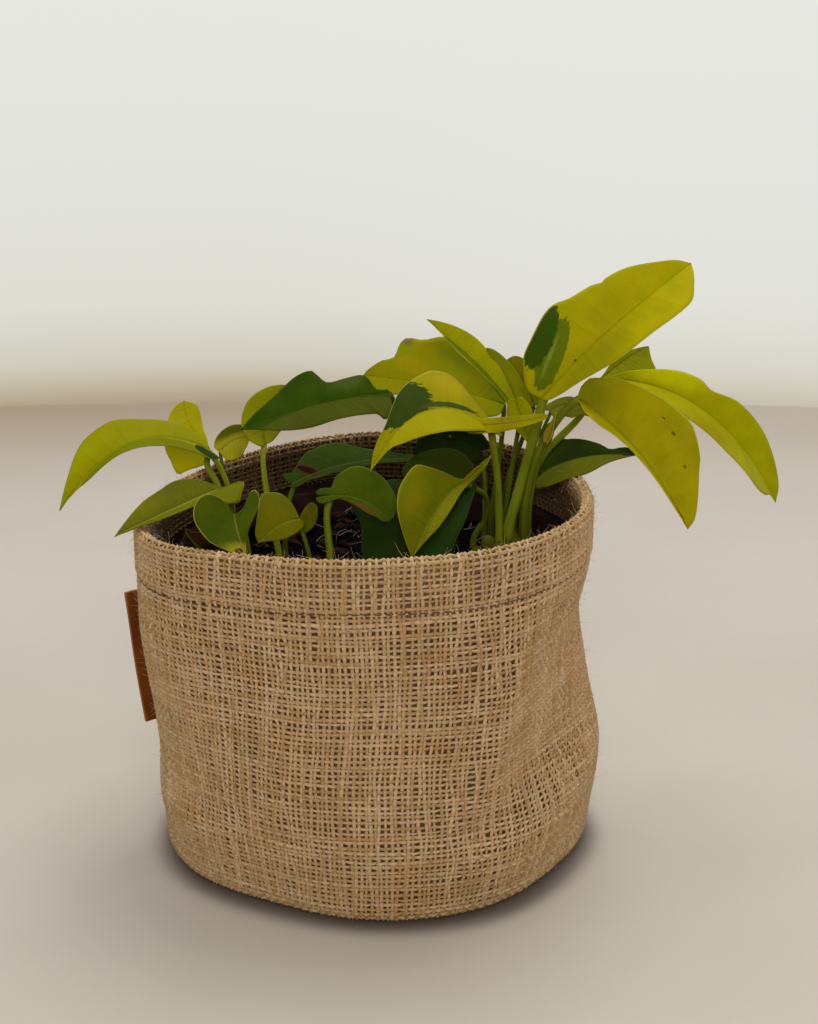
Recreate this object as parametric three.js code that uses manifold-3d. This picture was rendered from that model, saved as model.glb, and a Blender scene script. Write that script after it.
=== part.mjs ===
// A small neon pothos in its nursery pot, standing in a round planter sack of jute.
// Millimetres, +Z up, origin at the middle of the sack's base, the viewer's side towards -Y.

import * as THREE from "three";
import { mergeVertices } from "three/addons/utils/BufferGeometryUtils.js";
import Module from "manifold-3d";

const wasm = await Module();
wasm.setup();

// Sack
const sackHeight = 140;
const rimTilt = 3.5; // how far the rim stands higher at the right, and lower at the left
const clothThickness = 3;
const hemThickness = 5;
const hemDepth = 20;
const baseEdge = 8; // height of the rounded edge at the base
const baseInset = 5; // how far the flat of the base stops inside that edge
const sackTurns = 36;
// Radii every 30 degrees, counted from +X towards +Y
const bellyShare = 0.3; // where the belly is, as a share of the height
const rimShare = 0.75; // where the walls reach the rim's outline
const rimRadii = [81, 81, 84, 90, 84, 83, 87, 93, 84, 83, 87, 86];
const bellyRadii = [88, 86, 84, 87, 84, 84, 84, 86, 82, 83, 86, 86];
const baseRadii = [84, 80, 80, 82, 80, 80, 83, 82, 76, 79, 81, 80];

// Nursery pot
const potFoot = clothThickness + 0.3;
const potHeight = 116;
const potBaseRadius = 58;
const potTopRadius = 74;
const potWall = 1.5;
const potLip = 1.6;
const lipDepth = 9;
const drainRadius = 4;
const drainCircle = 40;
const drainCount = 6;
const roundSides = 40;

// Soil
const soilLevel = 113; // at the middle
const soilFall = 3; // lower at the pot's wall
const soilClear = 0.4; // between the soil and the pot's wall
const soilRings = 6;
const seatGap = 0.3;

// Label
const labelTall = 54;
const labelDeep = 7; // how far it stands out of the side seam
const labelThick = 1.5;
const labelPlace = [-90.2, 2, 73];
const labelTurn = -60; // degrees about Z
const labelLean = 6; // degrees about Y, along the sack's side

// Leaves
const bladeThickness = 0.6;
const bladeRows = 8;
const bladeColumns = 2; // on each side of the midrib
const edgeDroop = 0.1; // how far a half's edge sinks, as a share of its width
const stalkSides = 6;
const stalkSteps = 9;

// Each plant piece has the midrib's base, middle and tip, and its half widths at the stalk,
// at a quarter, at half and at three quarters of the midrib, left and right of the way from
// base to tip. lobes is how far each lobe reaches behind the stalk, as a share of the midrib.
// roll lifts the left half, fold lifts both, in degrees, and stalk lists points of the
// petiole's curve below the blade, down to the soil.
const plantPieces = [
  {
    name: "upper_right", base: [64, 22, 171], middle: [89, 20, 198], tip: [121, 34, 221],
    left: [9, 17, 17, 13], right: [8, 12, 17, 18], lobes: [0.1, 0.1], blunt: 0.5,
    roll: 50, fold: 20, stalk: [[61, 21, 155], [57, 20, 135], [54, 19, 119]], stalkRadius: 2.3,
  },
  {
    name: "right_drooping", base: [77, 14, 173], middle: [99, 5, 155], tip: [118, -6, 127],
    left: [9, 19, 24, 18], right: [8, 11, 11, 7], lobes: [0.05, 0.05], blunt: 0.3,
    roll: 35, fold: 35, stalk: [[71, 20, 164], [64, 24, 150], [59, 25, 129]], stalkRadius: 1.8,
  },
  {
    name: "far_right", base: [91, 42, 174], middle: [132, 50, 159], tip: [164, 56, 119],
    left: [8, 10, 13, 13], right: [8, 12, 12, 9], lobes: [0.06, 0.06], blunt: 0.5,
    roll: 45, fold: 25, stalk: [[80, 38, 159], [67, 36, 145], [60, 35, 128]], stalkRadius: 1.6,
  },
  {
    name: "right_rear", base: [86, 54, 167], middle: [98, 60, 176], tip: [110, 62, 183],
    left: [8, 12, 10, 6], right: [8, 13, 15, 11], lobes: [0.1, 0.1], blunt: 0.3,
    roll: 30, fold: 5, stalk: [[72, 47, 156], [62, 42, 148], [56, 40, 130]], stalkRadius: 1.3,
  },
  {
    name: "variegated", base: [45, 10, 163], middle: [19, -8, 173], tip: [-1, -26, 155],
    left: [8, 9, 11, 8], right: [8, 17, 15, 6], lobes: [0.15, 0.1], blunt: 0.3,
    roll: -40, fold: 5, stalk: [[47, 12, 141], [48, 14, 122]], stalkRadius: 1.7,
  },
  {
    name: "pointed", base: [57, 28, 162], middle: [40, 32, 181], tip: [20, 36, 199],
    left: [3, 4, 4, 2], right: [8, 12, 10, 6], lobes: [0.08, 0.08], blunt: 0.3,
    roll: -40, fold: 20, stalk: [[54, 26, 147], [51, 25, 124]], stalkRadius: 1.4,
  },
  {
    name: "wavy_back", base: [51, 44, 163], middle: [25, 46, 170], tip: [-5, 40, 176],
    left: [14, 18, 16, 8], right: [12, 20, 20, 10], lobes: [0.08, 0.08], blunt: 0.3,
    roll: -50, fold: 5, stalk: [[50, 42, 150], [48, 38, 135], [46, 35, 120]], stalkRadius: 1.6,
  },
  {
    name: "olive_back", base: [63, 49, 161], middle: [60, 57, 172], tip: [52, 63, 183],
    left: [6, 9, 9, 5], right: [6, 9, 9, 5], lobes: [0.08, 0.08], blunt: 0.3,
    roll: -30, fold: 5, stalk: [[58, 44, 148], [52, 40, 130]], stalkRadius: 1.4,
  },
  {
    name: "dark_left", base: [6, 6, 177], middle: [-23, 10, 171], tip: [-51, 12, 161],
    left: [9, 13, 12, 7], right: [7, 9, 17, 12], lobes: [0.08, 0.08], blunt: 0.3,
    roll: -40, fold: 8, stalk: [[9, 16, 165], [13, 24, 150], [15, 26, 124]], stalkRadius: 1.5,
  },
  {
    name: "round_left", base: [-43, 22, 153], middle: [-42, 32, 162], tip: [-32, 40, 171],
    left: [10, 14, 12, 8], right: [8, 10, 8, 5], lobes: [0.1, 0.1], blunt: 0.4,
    roll: 40, fold: 10, stalk: [[-43, 14, 146], [-40, 2, 132], [-36, -10, 119]], stalkRadius: 1.3,
  },
  {
    name: "far_left", base: [-64, 20, 151], middle: [-92, 4, 158], tip: [-117, -12, 136],
    left: [6, 6, 6, 4], right: [9, 11, 14, 9], lobes: [0.06, 0.06], blunt: 0.3,
    roll: -30, fold: 5, stalk: [[-65, 18, 145], [-61, 15, 138], [-57, 12, 126]], stalkRadius: 1.4,
  },
  {
    name: "back_left", base: [-66, 41, 143], middle: [-74, 45, 153], tip: [-77, 47, 165],
    left: [8, 12, 12, 8], right: [8, 12, 12, 8], lobes: [0.1, 0.1], blunt: 0.4,
    roll: -60, fold: 5, stalk: [[-62, 40, 137], [-58, 36, 126]], stalkRadius: 1.3,
  },
  {
    name: "small_back", base: [-50, 44, 150], middle: [-57, 47, 149], tip: [-63, 51, 145],
    left: [5, 8, 8, 5], right: [5, 8, 8, 5], lobes: [0.1, 0.1], blunt: 0.3,
    roll: -40, fold: 5, stalk: [[-50, 43, 138], [-48, 39, 126]], stalkRadius: 1.1,
  },
  {
    name: "rim_left", base: [-57, -12, 145], middle: [-74, -28, 141], tip: [-91, -46, 137],
    left: [8, 5, 5, 3], right: [7, 9, 8, 6], lobes: [0.2, 0.1], blunt: 0.3,
    roll: -30, fold: 5, stalk: [[-54, -13, 141], [-51, -14, 130]], stalkRadius: 1.2,
  },
  {
    name: "front_hanging", base: [34, -10, 147], middle: [24, -26, 142], tip: [14, -46, 129],
    left: [5, 5, 4, 3], right: [8, 18, 18, 11], lobes: [0.1, 0.1], blunt: 0.3,
    roll: -45, fold: 20, stalk: [[41, 0, 137], [41, 10, 124]], stalkRadius: 1.4,
  },
  {
    name: "small_front_left", base: [-48, -42, 144], middle: [-47, -52, 142],
    tip: [-45, -62, 135],
    left: [7, 6, 4, 2], right: [12, 14, 11, 6], lobes: [0.6, 0.5], blunt: 0.3,
    roll: 0, fold: 10, stalk: [[-46, -40, 139], [-44, -42, 127]], stalkRadius: 1.1,
  },
  {
    name: "olive_heart", base: [-27, -22, 136], middle: [-34, -30, 136], tip: [-41, -38, 132],
    left: [7, 4, 3, 3], right: [9, 13, 14, 11], lobes: [0.4, 0.1], blunt: 0.45,
    roll: -45, fold: 5, stalk: [[-25, -24, 128], [-23, -25, 119]], stalkRadius: 1.2,
  },
  {
    name: "round_centre", base: [-16, -22, 145], middle: [-4, -28, 145], tip: [6, -34, 139],
    left: [6, 11, 13, 10], right: [5, 2, 2, 2], lobes: [0.15, 0.15], blunt: 0.5,
    roll: 45, fold: 5, stalk: [[-17, -22, 137], [-16, -22, 122]], stalkRadius: 1.4,
  },
  {
    name: "torn_dark", base: [-31, 4, 142], middle: [-7, 13, 148], tip: [22, 16, 148],
    left: [9, 13, 11, 6], right: [5, 6, 5, 4], lobes: [0.08, 0.08], blunt: 0.3,
    roll: 20, fold: 5, stalk: [[-33, 2, 133], [-34, -2, 121]], stalkRadius: 1.4,
  },
  {
    name: "dark_right", base: [66, 29, 140], middle: [81, 17, 149], tip: [101, 6, 153],
    left: [5, 12, 11, 6], right: [3, 5, 5, 3], lobes: [0.04, 0.04], blunt: 0.3,
    roll: 35, fold: 5, stalk: [[62, 30, 132], [59, 30, 122]], stalkRadius: 1.2,
  },
  {
    name: "dark_rear", base: [41, 38, 146], middle: [28, 37, 150], tip: [15, 34, 146],
    left: [6, 10, 10, 6], right: [6, 10, 10, 6], lobes: [0.1, 0.1], blunt: 0.4,
    roll: -50, fold: 5, stalk: [[43, 34, 136], [43, 30, 122]], stalkRadius: 1.3,
  },
  {
    name: "dark_centre", base: [13, 4, 151], middle: [25, 2, 150], tip: [37, 4, 139],
    left: [8, 16, 16, 12], right: [8, 10, 8, 6], lobes: [0.1, 0.1], blunt: 0.45,
    roll: 40, fold: 5, stalk: [[17, 5, 139], [21, 6, 124]], stalkRadius: 1.4,
  },
  {
    name: "dark_hanging", base: [17, -10, 143], middle: [14, -28, 135], tip: [12, -50, 119],
    left: [14, 22, 21, 14], right: [14, 22, 21, 14], lobes: [0.1, 0.1], blunt: 0.5,
    roll: 0, fold: 5, stalk: [[22, -5, 136], [27, 1, 124]], stalkRadius: 1.4,
  },
  {
    name: "rear_lobe", base: [68, 27, 165], middle: [78, 31, 166], tip: [87, 30, 160],
    left: [3, 4, 4, 3], right: [5, 7, 6, 4], lobes: [0.06, 0.06], blunt: 0.3,
    roll: 30, fold: 5, stalk: [[65, 29, 155], [62, 31, 140], [56, 32, 122]], stalkRadius: 1.1,
  },
  {
    name: "young_pale", base: [66, 16, 155], middle: [68, 15, 161], tip: [69, 14, 168],
    left: [2, 3, 2, 1], right: [2, 3, 2, 1], lobes: [0.06, 0.06], blunt: 0.3,
    roll: 60, fold: 30, stalk: [[63, 15, 146], [60, 13, 130]], stalkRadius: 0.9,
  },
  {
    name: "withered", base: [-62, -34, 129], middle: [-65, -38, 134], tip: [-67, -40, 138],
    left: [3, 5, 4, 2], right: [3, 5, 4, 2], lobes: [0.1, 0.1], blunt: 0.4,
    roll: 20, fold: 30, stalk: [[-59, -31, 124]], stalkRadius: 0.8,
  },
];

// Finishes
const finishes = {
  jute: { color: 0xb59b78, roughness: 0.95, metalness: 0 },
  plastic: { color: 0x3a1f18, roughness: 0.6, metalness: 0 },
  soil: { color: 0x1d1512, roughness: 1, metalness: 0 },
  leather: { color: 0x9a6238, roughness: 0.6, metalness: 0 },
  lime: { color: 0x9fa51a, roughness: 0.4, metalness: 0 },
  olive: { color: 0x7c8420, roughness: 0.45, metalness: 0 },
  dark: { color: 0x2c4f16, roughness: 0.35, metalness: 0 },
  withered: { color: 0x6b4a2a, roughness: 0.8, metalness: 0 },
  stalk: { color: 0x8d9a35, roughness: 0.45, metalness: 0 },
};
const oliveBlades = ["wavy_back", "olive_back", "round_left", "right_rear", "rear_lobe"];

const plant = new THREE.Group();

function addPiece(name, geometry, finish) {
  const material = new THREE.MeshStandardMaterial(finishes[finish]);
  const mesh = new THREE.Mesh(geometry, material);
  mesh.name = name;
  plant.add(mesh);
  return mesh;
}

// Solids for cutting, and back

function toSolid(geometry) {
  const bare = geometry.clone();
  bare.deleteAttribute("normal");
  bare.deleteAttribute("uv");
  const merged = mergeVertices(bare, 1e-4);
  return new wasm.Manifold(new wasm.Mesh({
    numProp: 3,
    vertProperties: new Float32Array(merged.attributes.position.array),
    triVerts: new Uint32Array(merged.index.array),
  }));
}

function toGeometry(solid) {
  const mesh = solid.getMesh();
  const geometry = new THREE.BufferGeometry();
  geometry.setAttribute("position", new THREE.BufferAttribute(mesh.vertProperties, 3));
  geometry.setIndex(new THREE.BufferAttribute(mesh.triVerts, 1));
  geometry.computeVertexNormals();
  return geometry;
}

function fromFaces(points, faces) {
  const geometry = new THREE.BufferGeometry();
  geometry.setAttribute("position", new THREE.Float32BufferAttribute(points.flat(), 3));
  geometry.setIndex(faces);
  geometry.computeVertexNormals();
  return geometry;
}

// A smooth value through evenly spaced ones, either open or round a full turn

function smoothValue(values, place, closed) {
  const count = values.length;
  const at = (k) => (closed ? values[(k + count) % count] : extended(values, k));
  const k = Math.min(Math.floor(place), closed ? count : count - 2);
  const f = place - k;
  const [a, b, c, d] = [at(k - 1), at(k), at(k + 1), at(k + 2)];
  return 0.5 * (2 * b + (c - a) * f + (2 * a - 5 * b + 4 * c - d) * f * f
    + (3 * b - a - 3 * c + d) * f * f * f);
}

function extended(values, k) {
  const last = values.length - 1;
  if (k < 0) return 2 * values[0] - values[1];
  if (k > last) return 2 * values[last] - values[last - 1];
  return values[k];
}

// Sack: rings of the outer skin from the base up, then of the inner skin back down

function sackRadius(turn, share) {
  const place = turn * 12;
  const base = smoothValue(baseRadii, place, true);
  const belly = smoothValue(bellyRadii, place, true);
  const rim = smoothValue(rimRadii, place, true);
  const low = THREE.MathUtils.smoothstep(share, 0, bellyShare);
  const high = THREE.MathUtils.smoothstep(share, bellyShare, rimShare);
  return share < bellyShare ? base + (belly - base) * low : belly + (rim - belly) * high;
}

function sackRings() {
  const hemStart = sackHeight - hemDepth;
  const rings = [
    { z: 0, inset: baseInset },
    { z: baseEdge / 4, inset: baseInset / 3 },
    { z: baseEdge, inset: 0 },
  ];
  for (const z of [25, 45, 65, 85, 105, hemStart, sackHeight - 2]) {
    rings.push({ z, inset: 0 });
  }
  rings.push({ z: sackHeight, inset: hemThickness / 2 });
  rings.push({ z: sackHeight - 2, inset: hemThickness });
  rings.push({ z: hemStart, inset: hemThickness });
  rings.push({ z: hemStart - 2, inset: clothThickness });
  for (const z of [95, 70, 45, 20]) {
    rings.push({ z, inset: clothThickness });
  }
  rings.push({ z: clothThickness, inset: clothThickness + baseInset });
  return rings;
}

function sackSolid() {
  const points = [];
  const faces = [];
  const rings = sackRings();
  for (const ring of rings) {
    for (let k = 0; k < sackTurns; k += 1) {
      const turn = k / sackTurns;
      const share = ring.z / sackHeight;
      const radius = sackRadius(turn, share) - ring.inset;
      const angle = turn * 2 * Math.PI;
      const x = radius * Math.cos(angle);
      const lift = (rimTilt * x / rimRadii[0]) * share * share;
      points.push([x, radius * Math.sin(angle), ring.z + lift]);
    }
  }
  for (let r = 0; r < rings.length - 1; r += 1) {
    for (let k = 0; k < sackTurns; k += 1) {
      const next = (k + 1) % sackTurns;
      const [a, b] = [r * sackTurns + k, r * sackTurns + next];
      const [c, d] = [a + sackTurns, b + sackTurns];
      faces.push(a, b, d, a, d, c);
    }
  }
  const bottom = points.push([0, 0, 0]) - 1;
  const floor = points.push([0, 0, clothThickness]) - 1;
  const lastRing = (rings.length - 1) * sackTurns;
  for (let k = 0; k < sackTurns; k += 1) {
    const next = (k + 1) % sackTurns;
    faces.push(bottom, next, k);
    faces.push(floor, lastRing + k, lastRing + next);
  }
  return fromFaces(points, faces);
}

// Nursery pot: a tapered cup with a lip, and drain holes through its floor

function potRadius(z) {
  const share = (z - potFoot) / potHeight;
  return potBaseRadius + (potTopRadius - potBaseRadius) * share;
}

function potSolid() {
  const top = potFoot + potHeight;
  const profile = [
    [0, potFoot],
    [potBaseRadius, potFoot],
    [potRadius(top - lipDepth), top - lipDepth],
    [potRadius(top - lipDepth) + potLip, top - lipDepth + 1],
    [potTopRadius + potLip, top],
    [potTopRadius - potWall, top],
    [potRadius(potFoot + potWall) - potWall, potFoot + potWall],
    [0, potFoot + potWall],
  ].map(([radius, z]) => new THREE.Vector2(radius, z));
  const cup = new THREE.LatheGeometry(profile, roundSides);
  cup.rotateX(Math.PI / 2);
  let solid = toSolid(cup);
  for (let k = 0; k < drainCount; k += 1) {
    const angle = (k / drainCount) * 2 * Math.PI;
    const drill = new THREE.CylinderGeometry(drainRadius, drainRadius, 8 * potWall, 12);
    drill.rotateX(Math.PI / 2);
    drill.translate(drainCircle * Math.cos(angle), drainCircle * Math.sin(angle), potFoot);
    solid = solid.subtract(toSolid(drill));
  }
  return toGeometry(solid);
}

// Soil: a plug that fills the pot, a little lower at the wall than at the middle

function soilTop(radius) {
  const share = radius / (potTopRadius - potWall);
  return soilLevel - soilFall * share * share;
}

function soilSolid() {
  const bottom = potFoot + potWall + seatGap;
  const clear = potWall + soilClear;
  const edge = potRadius(soilLevel - soilFall) - clear;
  const profile = [[0, bottom], [potRadius(bottom) - clear, bottom]];
  for (let k = soilRings; k >= 0; k -= 1) {
    const radius = (edge * k) / soilRings;
    profile.push([radius, soilTop(radius)]);
  }
  const outline = profile.map(([radius, z]) => new THREE.Vector2(radius, z));
  const plug = new THREE.LatheGeometry(outline, roundSides);
  plug.rotateX(Math.PI / 2);
  return toGeometry(toSolid(plug));
}

// Blades

function midribPoint(piece, share) {
  const [base, middle, tip] = [piece.base, piece.middle, piece.tip]
    .map((p) => new THREE.Vector3(...p));
  const bend = middle.clone().multiplyScalar(2).addScaledVector(base, -0.5)
    .addScaledVector(tip, -0.5);
  const along = Math.max(share, 0);
  const point = base.clone().multiplyScalar((1 - along) ** 2)
    .addScaledVector(bend, 2 * along * (1 - along)).addScaledVector(tip, along ** 2);
  const heading = bend.clone().sub(base).multiplyScalar(2 * (1 - along))
    .addScaledVector(tip.clone().sub(bend), 2 * along);
  if (share < 0) point.addScaledVector(heading, share);
  return { point, heading: heading.normalize(), chord: tip.sub(base) };
}

// Outline of one half: the share along the midrib and the distance from it
function halfOutline(widths, lobe, blunt, place) {
  const [atStalk, quarter, half, threeQuarter] = widths;
  const shares = [0, -0.85 * lobe, -lobe, -0.35 * lobe, 0.25, 0.5, 0.75, 0.93, 1];
  const reaches = [0, 0.3 * atStalk, 0.62 * atStalk, 0.95 * atStalk, quarter, half,
    threeQuarter, blunt * threeQuarter, 0];
  const knot = place * (shares.length - 1);
  return [smoothValue(shares, knot, false), smoothValue(reaches, knot, false)];
}

function bladePoint(piece, share, reach, hand) {
  const { point, heading, chord } = midribPoint(piece, share);
  const side = new THREE.Vector3(-chord.y, chord.x, 0);
  side.addScaledVector(heading, -side.dot(heading)).normalize();
  const up = heading.clone().cross(side);
  const roll = THREE.MathUtils.degToRad(piece.roll);
  const fold = THREE.MathUtils.degToRad(piece.fold);
  const across = side.clone().multiplyScalar(Math.cos(roll)).addScaledVector(up, Math.sin(roll));
  const normal = up.clone().multiplyScalar(Math.cos(roll)).addScaledVector(side, -Math.sin(roll));
  const widest = Math.max(...(hand > 0 ? piece.left : piece.right));
  const droop = edgeDroop * reach * reach / widest;
  point.addScaledVector(across, hand * reach * Math.cos(fold));
  point.addScaledVector(normal, reach * Math.sin(fold) - droop);
  return { point, normal };
}

function bladeSolid(piece) {
  const upper = [];
  const lower = [];
  const addPoint = ({ point, normal }) => {
    upper.push(point.clone().addScaledVector(normal, bladeThickness / 2).toArray());
    lower.push(point.clone().addScaledVector(normal, -bladeThickness / 2).toArray());
  };
  const wide = 2 * bladeColumns + 1;
  addPoint(bladePoint(piece, 0, 0, 1));
  for (let row = 1; row < bladeRows; row += 1) {
    const midShare = row / bladeRows;
    for (let column = -bladeColumns; column <= bladeColumns; column += 1) {
      const hand = column > 0 ? 1 : -1;
      const [widths, lobe] = hand > 0
        ? [piece.left, piece.lobes[0]]
        : [piece.right, piece.lobes[1]];
      const out = Math.abs(column) / bladeColumns;
      const [edgeShare, edgeReach] = halfOutline(widths, lobe, piece.blunt, midShare);
      addPoint(bladePoint(piece, midShare + (edgeShare - midShare) * out, edgeReach * out, hand));
    }
  }
  addPoint(bladePoint(piece, 1, 0, 1));
  return closeBlade(upper, lower, wide);
}

// The upper and lower skins and the thin wall between them
function closeBlade(upper, lower, wide) {
  const tip = upper.length - 1;
  const at = (row, column) => 1 + (row - 1) * wide + column;
  const skin = [];
  for (let column = 0; column < wide - 1; column += 1) {
    skin.push([0, at(1, column), at(1, column + 1)]);
    for (let row = 1; row < bladeRows - 1; row += 1) {
      const [a, b] = [at(row, column), at(row, column + 1)];
      const [c, d] = [at(row + 1, column), at(row + 1, column + 1)];
      skin.push([a, c, d], [a, d, b]);
    }
    skin.push([at(bladeRows - 1, column), tip, at(bladeRows - 1, column + 1)]);
  }
  const rightEdge = [0];
  const leftEdge = [];
  for (let row = 1; row < bladeRows; row += 1) {
    rightEdge.push(at(row, 0));
    leftEdge.unshift(at(row, wide - 1));
  }
  const edge = [...rightEdge, tip, ...leftEdge];
  const below = upper.length;
  const faces = [];
  for (const [a, b, c] of skin) {
    faces.push(a, b, c, below + a, below + c, below + b);
  }
  edge.forEach((a, k) => {
    const b = edge[(k + 1) % edge.length];
    faces.push(a, below + a, below + b, a, below + b, b);
  });
  return fromFaces([...upper, ...lower], faces);
}

// Petioles: a round stalk from the blade's base down to the soil, ending upright

function stalkSolid(piece, radius) {
  const foot = piece.stalk[piece.stalk.length - 1];
  const standing = soilTop(Math.hypot(foot[0], foot[1])) + seatGap;
  const points = [piece.base, ...piece.stalk, [foot[0], foot[1], standing]];
  const path = new THREE.CatmullRomCurve3(points.map((p) => new THREE.Vector3(...p)));
  const section = new THREE.Shape();
  for (let k = 0; k < stalkSides; k += 1) {
    const angle = (k / stalkSides) * 2 * Math.PI;
    const [x, y] = [radius * Math.cos(angle), radius * Math.sin(angle)];
    if (k === 0) section.moveTo(x, y);
    else section.lineTo(x, y);
  }
  section.closePath();
  return new THREE.ExtrudeGeometry(section, { steps: stalkSteps, extrudePath: path });
}

function bladeFinish(name) {
  if (name === "withered") return "withered";
  if (name.startsWith("dark") || name.startsWith("torn")) return "dark";
  return oliveBlades.includes(name) ? "olive" : "lime";
}

function addPlantPiece(piece) {
  const stalk = stalkSolid(piece, piece.stalkRadius);
  const notch = toSolid(stalkSolid(piece, piece.stalkRadius + seatGap));
  const blade = toSolid(bladeSolid(piece)).subtract(notch);
  addPiece(`leaf_${piece.name}`, toGeometry(blade), bladeFinish(piece.name));
  addPiece(`petiole_${piece.name}`, stalk, piece.name === "withered" ? "withered" : "stalk");
}

addPiece("jute_sack", sackSolid(), "jute");
addPiece("nursery_pot", potSolid(), "plastic");
addPiece("potting_soil", soilSolid(), "soil");

const label = addPiece(
  "leather_label",
  new THREE.BoxGeometry(labelThick, labelDeep, labelTall),
  "leather",
);
label.position.set(...labelPlace);
label.rotation.set(
  0,
  THREE.MathUtils.degToRad(-labelLean),
  THREE.MathUtils.degToRad(labelTurn),
);

plantPieces.forEach(addPlantPiece);

export default plant;
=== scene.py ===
import math
import bpy
import numpy as np
from mathutils import Matrix, Vector, noise


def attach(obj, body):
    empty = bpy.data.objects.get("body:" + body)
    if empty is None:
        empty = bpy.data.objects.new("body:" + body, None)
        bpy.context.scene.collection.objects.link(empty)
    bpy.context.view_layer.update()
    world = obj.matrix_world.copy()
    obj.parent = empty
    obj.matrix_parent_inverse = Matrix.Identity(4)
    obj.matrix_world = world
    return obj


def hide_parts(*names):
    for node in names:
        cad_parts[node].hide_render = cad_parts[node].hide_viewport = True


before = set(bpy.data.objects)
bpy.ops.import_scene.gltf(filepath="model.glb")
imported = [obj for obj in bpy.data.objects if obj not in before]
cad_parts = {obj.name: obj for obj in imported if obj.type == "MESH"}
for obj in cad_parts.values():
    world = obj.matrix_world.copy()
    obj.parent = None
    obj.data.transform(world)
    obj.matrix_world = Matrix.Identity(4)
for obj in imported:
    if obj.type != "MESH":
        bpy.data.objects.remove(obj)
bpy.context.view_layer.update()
bpy.ops.object.select_all(action="DESELECT")
print("frame loaded,", len(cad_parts), "nodes")

mm = 0.001  # the dictionaries below are in millimetres and degrees
chance = np.random.default_rng(11)


# Camera, at the photograph's height and pitch

viewer = {"place": (13, -634, 327), "pitch": 17.1, "lens": 61.52, "sensor": 36}


def makeCamera():
    bpy.ops.object.camera_add(
        location=Vector(viewer["place"]) * mm,
        rotation=(math.radians(90 - viewer["pitch"]), 0, 0),
    )
    camera = bpy.context.object
    camera.name = "camera"
    camera.data.lens = viewer["lens"]
    camera.data.sensor_width = viewer["sensor"]
    camera.data.clip_start = 0.02
    bpy.context.scene.camera = camera


makeCamera()


# Small helpers for node trees

def paint(code):
    # a hex colour as the eye sees it, made linear
    parts = [int(code[k:k + 2], 16) / 255 for k in (0, 2, 4)]
    linear = [c / 12.92 if c <= 0.04045 else ((c + 0.055) / 1.055) ** 2.4 for c in parts]
    return (*linear, 1)


def plug(tree, node, inputs):
    for socket, value in inputs.items():
        if isinstance(value, bpy.types.NodeSocket):
            tree.links.new(value, node.inputs[socket])
        else:
            node.inputs[socket].default_value = value
    return node


def addNode(tree, kind, inputs, **settings):
    node = tree.nodes.new("ShaderNode" + kind)
    for name, value in settings.items():
        setattr(node, name, value)
    return plug(tree, node, inputs)


def addMath(tree, operation, a, b=0.0, c=0.0):
    return addNode(tree, "Math", {0: a, 1: b, 2: c}, operation=operation).outputs[0]


def addStep(tree, value, low, high):
    # a soft step, 0 at low and 1 at high
    inputs = {"Value": value, "From Min": low, "From Max": high}
    return addNode(tree, "MapRange", inputs, interpolation_type="SMOOTHSTEP").outputs["Result"]


def addMix(tree, factor, a, b, blend="MIX"):
    node = addNode(tree, "Mix", {}, data_type="RGBA", blend_type=blend)
    return plug(tree, node, {0: factor, 6: a, 7: b}).outputs[2]


def addNoise(tree, vector, scale, detail=3.0):
    inputs = {"Vector": vector, "Scale": scale, "Detail": detail}
    return addNode(tree, "TexNoise", inputs).outputs["Fac"]


def openGroup(name, inputs, outputs):
    tree = bpy.data.node_groups.new(name, "ShaderNodeTree")
    for socket, kind in inputs.items():
        tree.interface.new_socket(socket, in_out="INPUT", socket_type="NodeSocket" + kind)
    for socket, kind in outputs.items():
        tree.interface.new_socket(socket, in_out="OUTPUT", socket_type="NodeSocket" + kind)
    return tree, tree.nodes.new("NodeGroupInput").outputs, tree.nodes.new("NodeGroupOutput")


def useGroup(tree, group, inputs):
    node = tree.nodes.new("ShaderNodeGroup")
    node.node_tree = group
    return plug(tree, node, inputs).outputs


def newMaterial(name):
    material = bpy.data.materials.new(name)
    material.use_nodes = True
    tree = material.node_tree
    return material, tree, tree.nodes["Principled BSDF"]


def objectPlace(tree):
    return addNode(tree, "TexCoord", {}).outputs["Object"]


def uvPlace(tree, name="yarnMap"):
    return addNode(tree, "UVMap", {}, uv_map=name).outputs["UV"]


def partsOf(tree, vector):
    return addNode(tree, "SeparateXYZ", {0: vector}).outputs


def addTone(tree, body, tone, mask, strength):
    # another tone over body where the mask is, no stronger than strength
    return addMix(tree, addMath(tree, "MULTIPLY", mask, strength), body, tone)


def addBump(tree, height, depth, strength=1.0):
    inputs = {"Height": height, "Distance": depth, "Strength": strength}
    return addNode(tree, "Bump", inputs).outputs["Normal"]


# Shared effects: mottle is a cloudy mask, fibre is the streaks along a yarn

def makeMottle():
    inputs = {"Vector": "Vector", "Scale": "Float", "Edge": "Float", "Softness": "Float"}
    tree, entry, result = openGroup("mottle", inputs, {"Mask": "Float", "Height": "Float"})
    cloud = addNoise(tree, entry["Vector"], entry["Scale"], 5.0)
    high = addMath(tree, "ADD", entry["Edge"], entry["Softness"])
    low = addMath(tree, "SUBTRACT", entry["Edge"], entry["Softness"])
    plug(tree, result, {"Mask": addStep(tree, cloud, low, high), "Height": cloud})
    return tree


def makeFibre():
    inputs = {"Vector": "Vector", "Along": "Float", "Round": "Float"}
    tree, entry, result = openGroup("fibre", inputs, {"Streak": "Float", "Height": "Float"})
    stretch = addNode(tree, "CombineXYZ", {"X": entry["Along"], "Y": entry["Round"], "Z": 1.0})
    drawn = addNode(
        tree, "VectorMath", {0: entry["Vector"], 1: stretch.outputs[0]}, operation="MULTIPLY"
    )
    streak = addNoise(tree, drawn.outputs[0], 1.0, 4.0)
    plug(tree, result, {"Streak": addStep(tree, streak, 0.3, 0.7), "Height": streak})
    return tree


mottle = makeMottle()
fibre = makeFibre()


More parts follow.
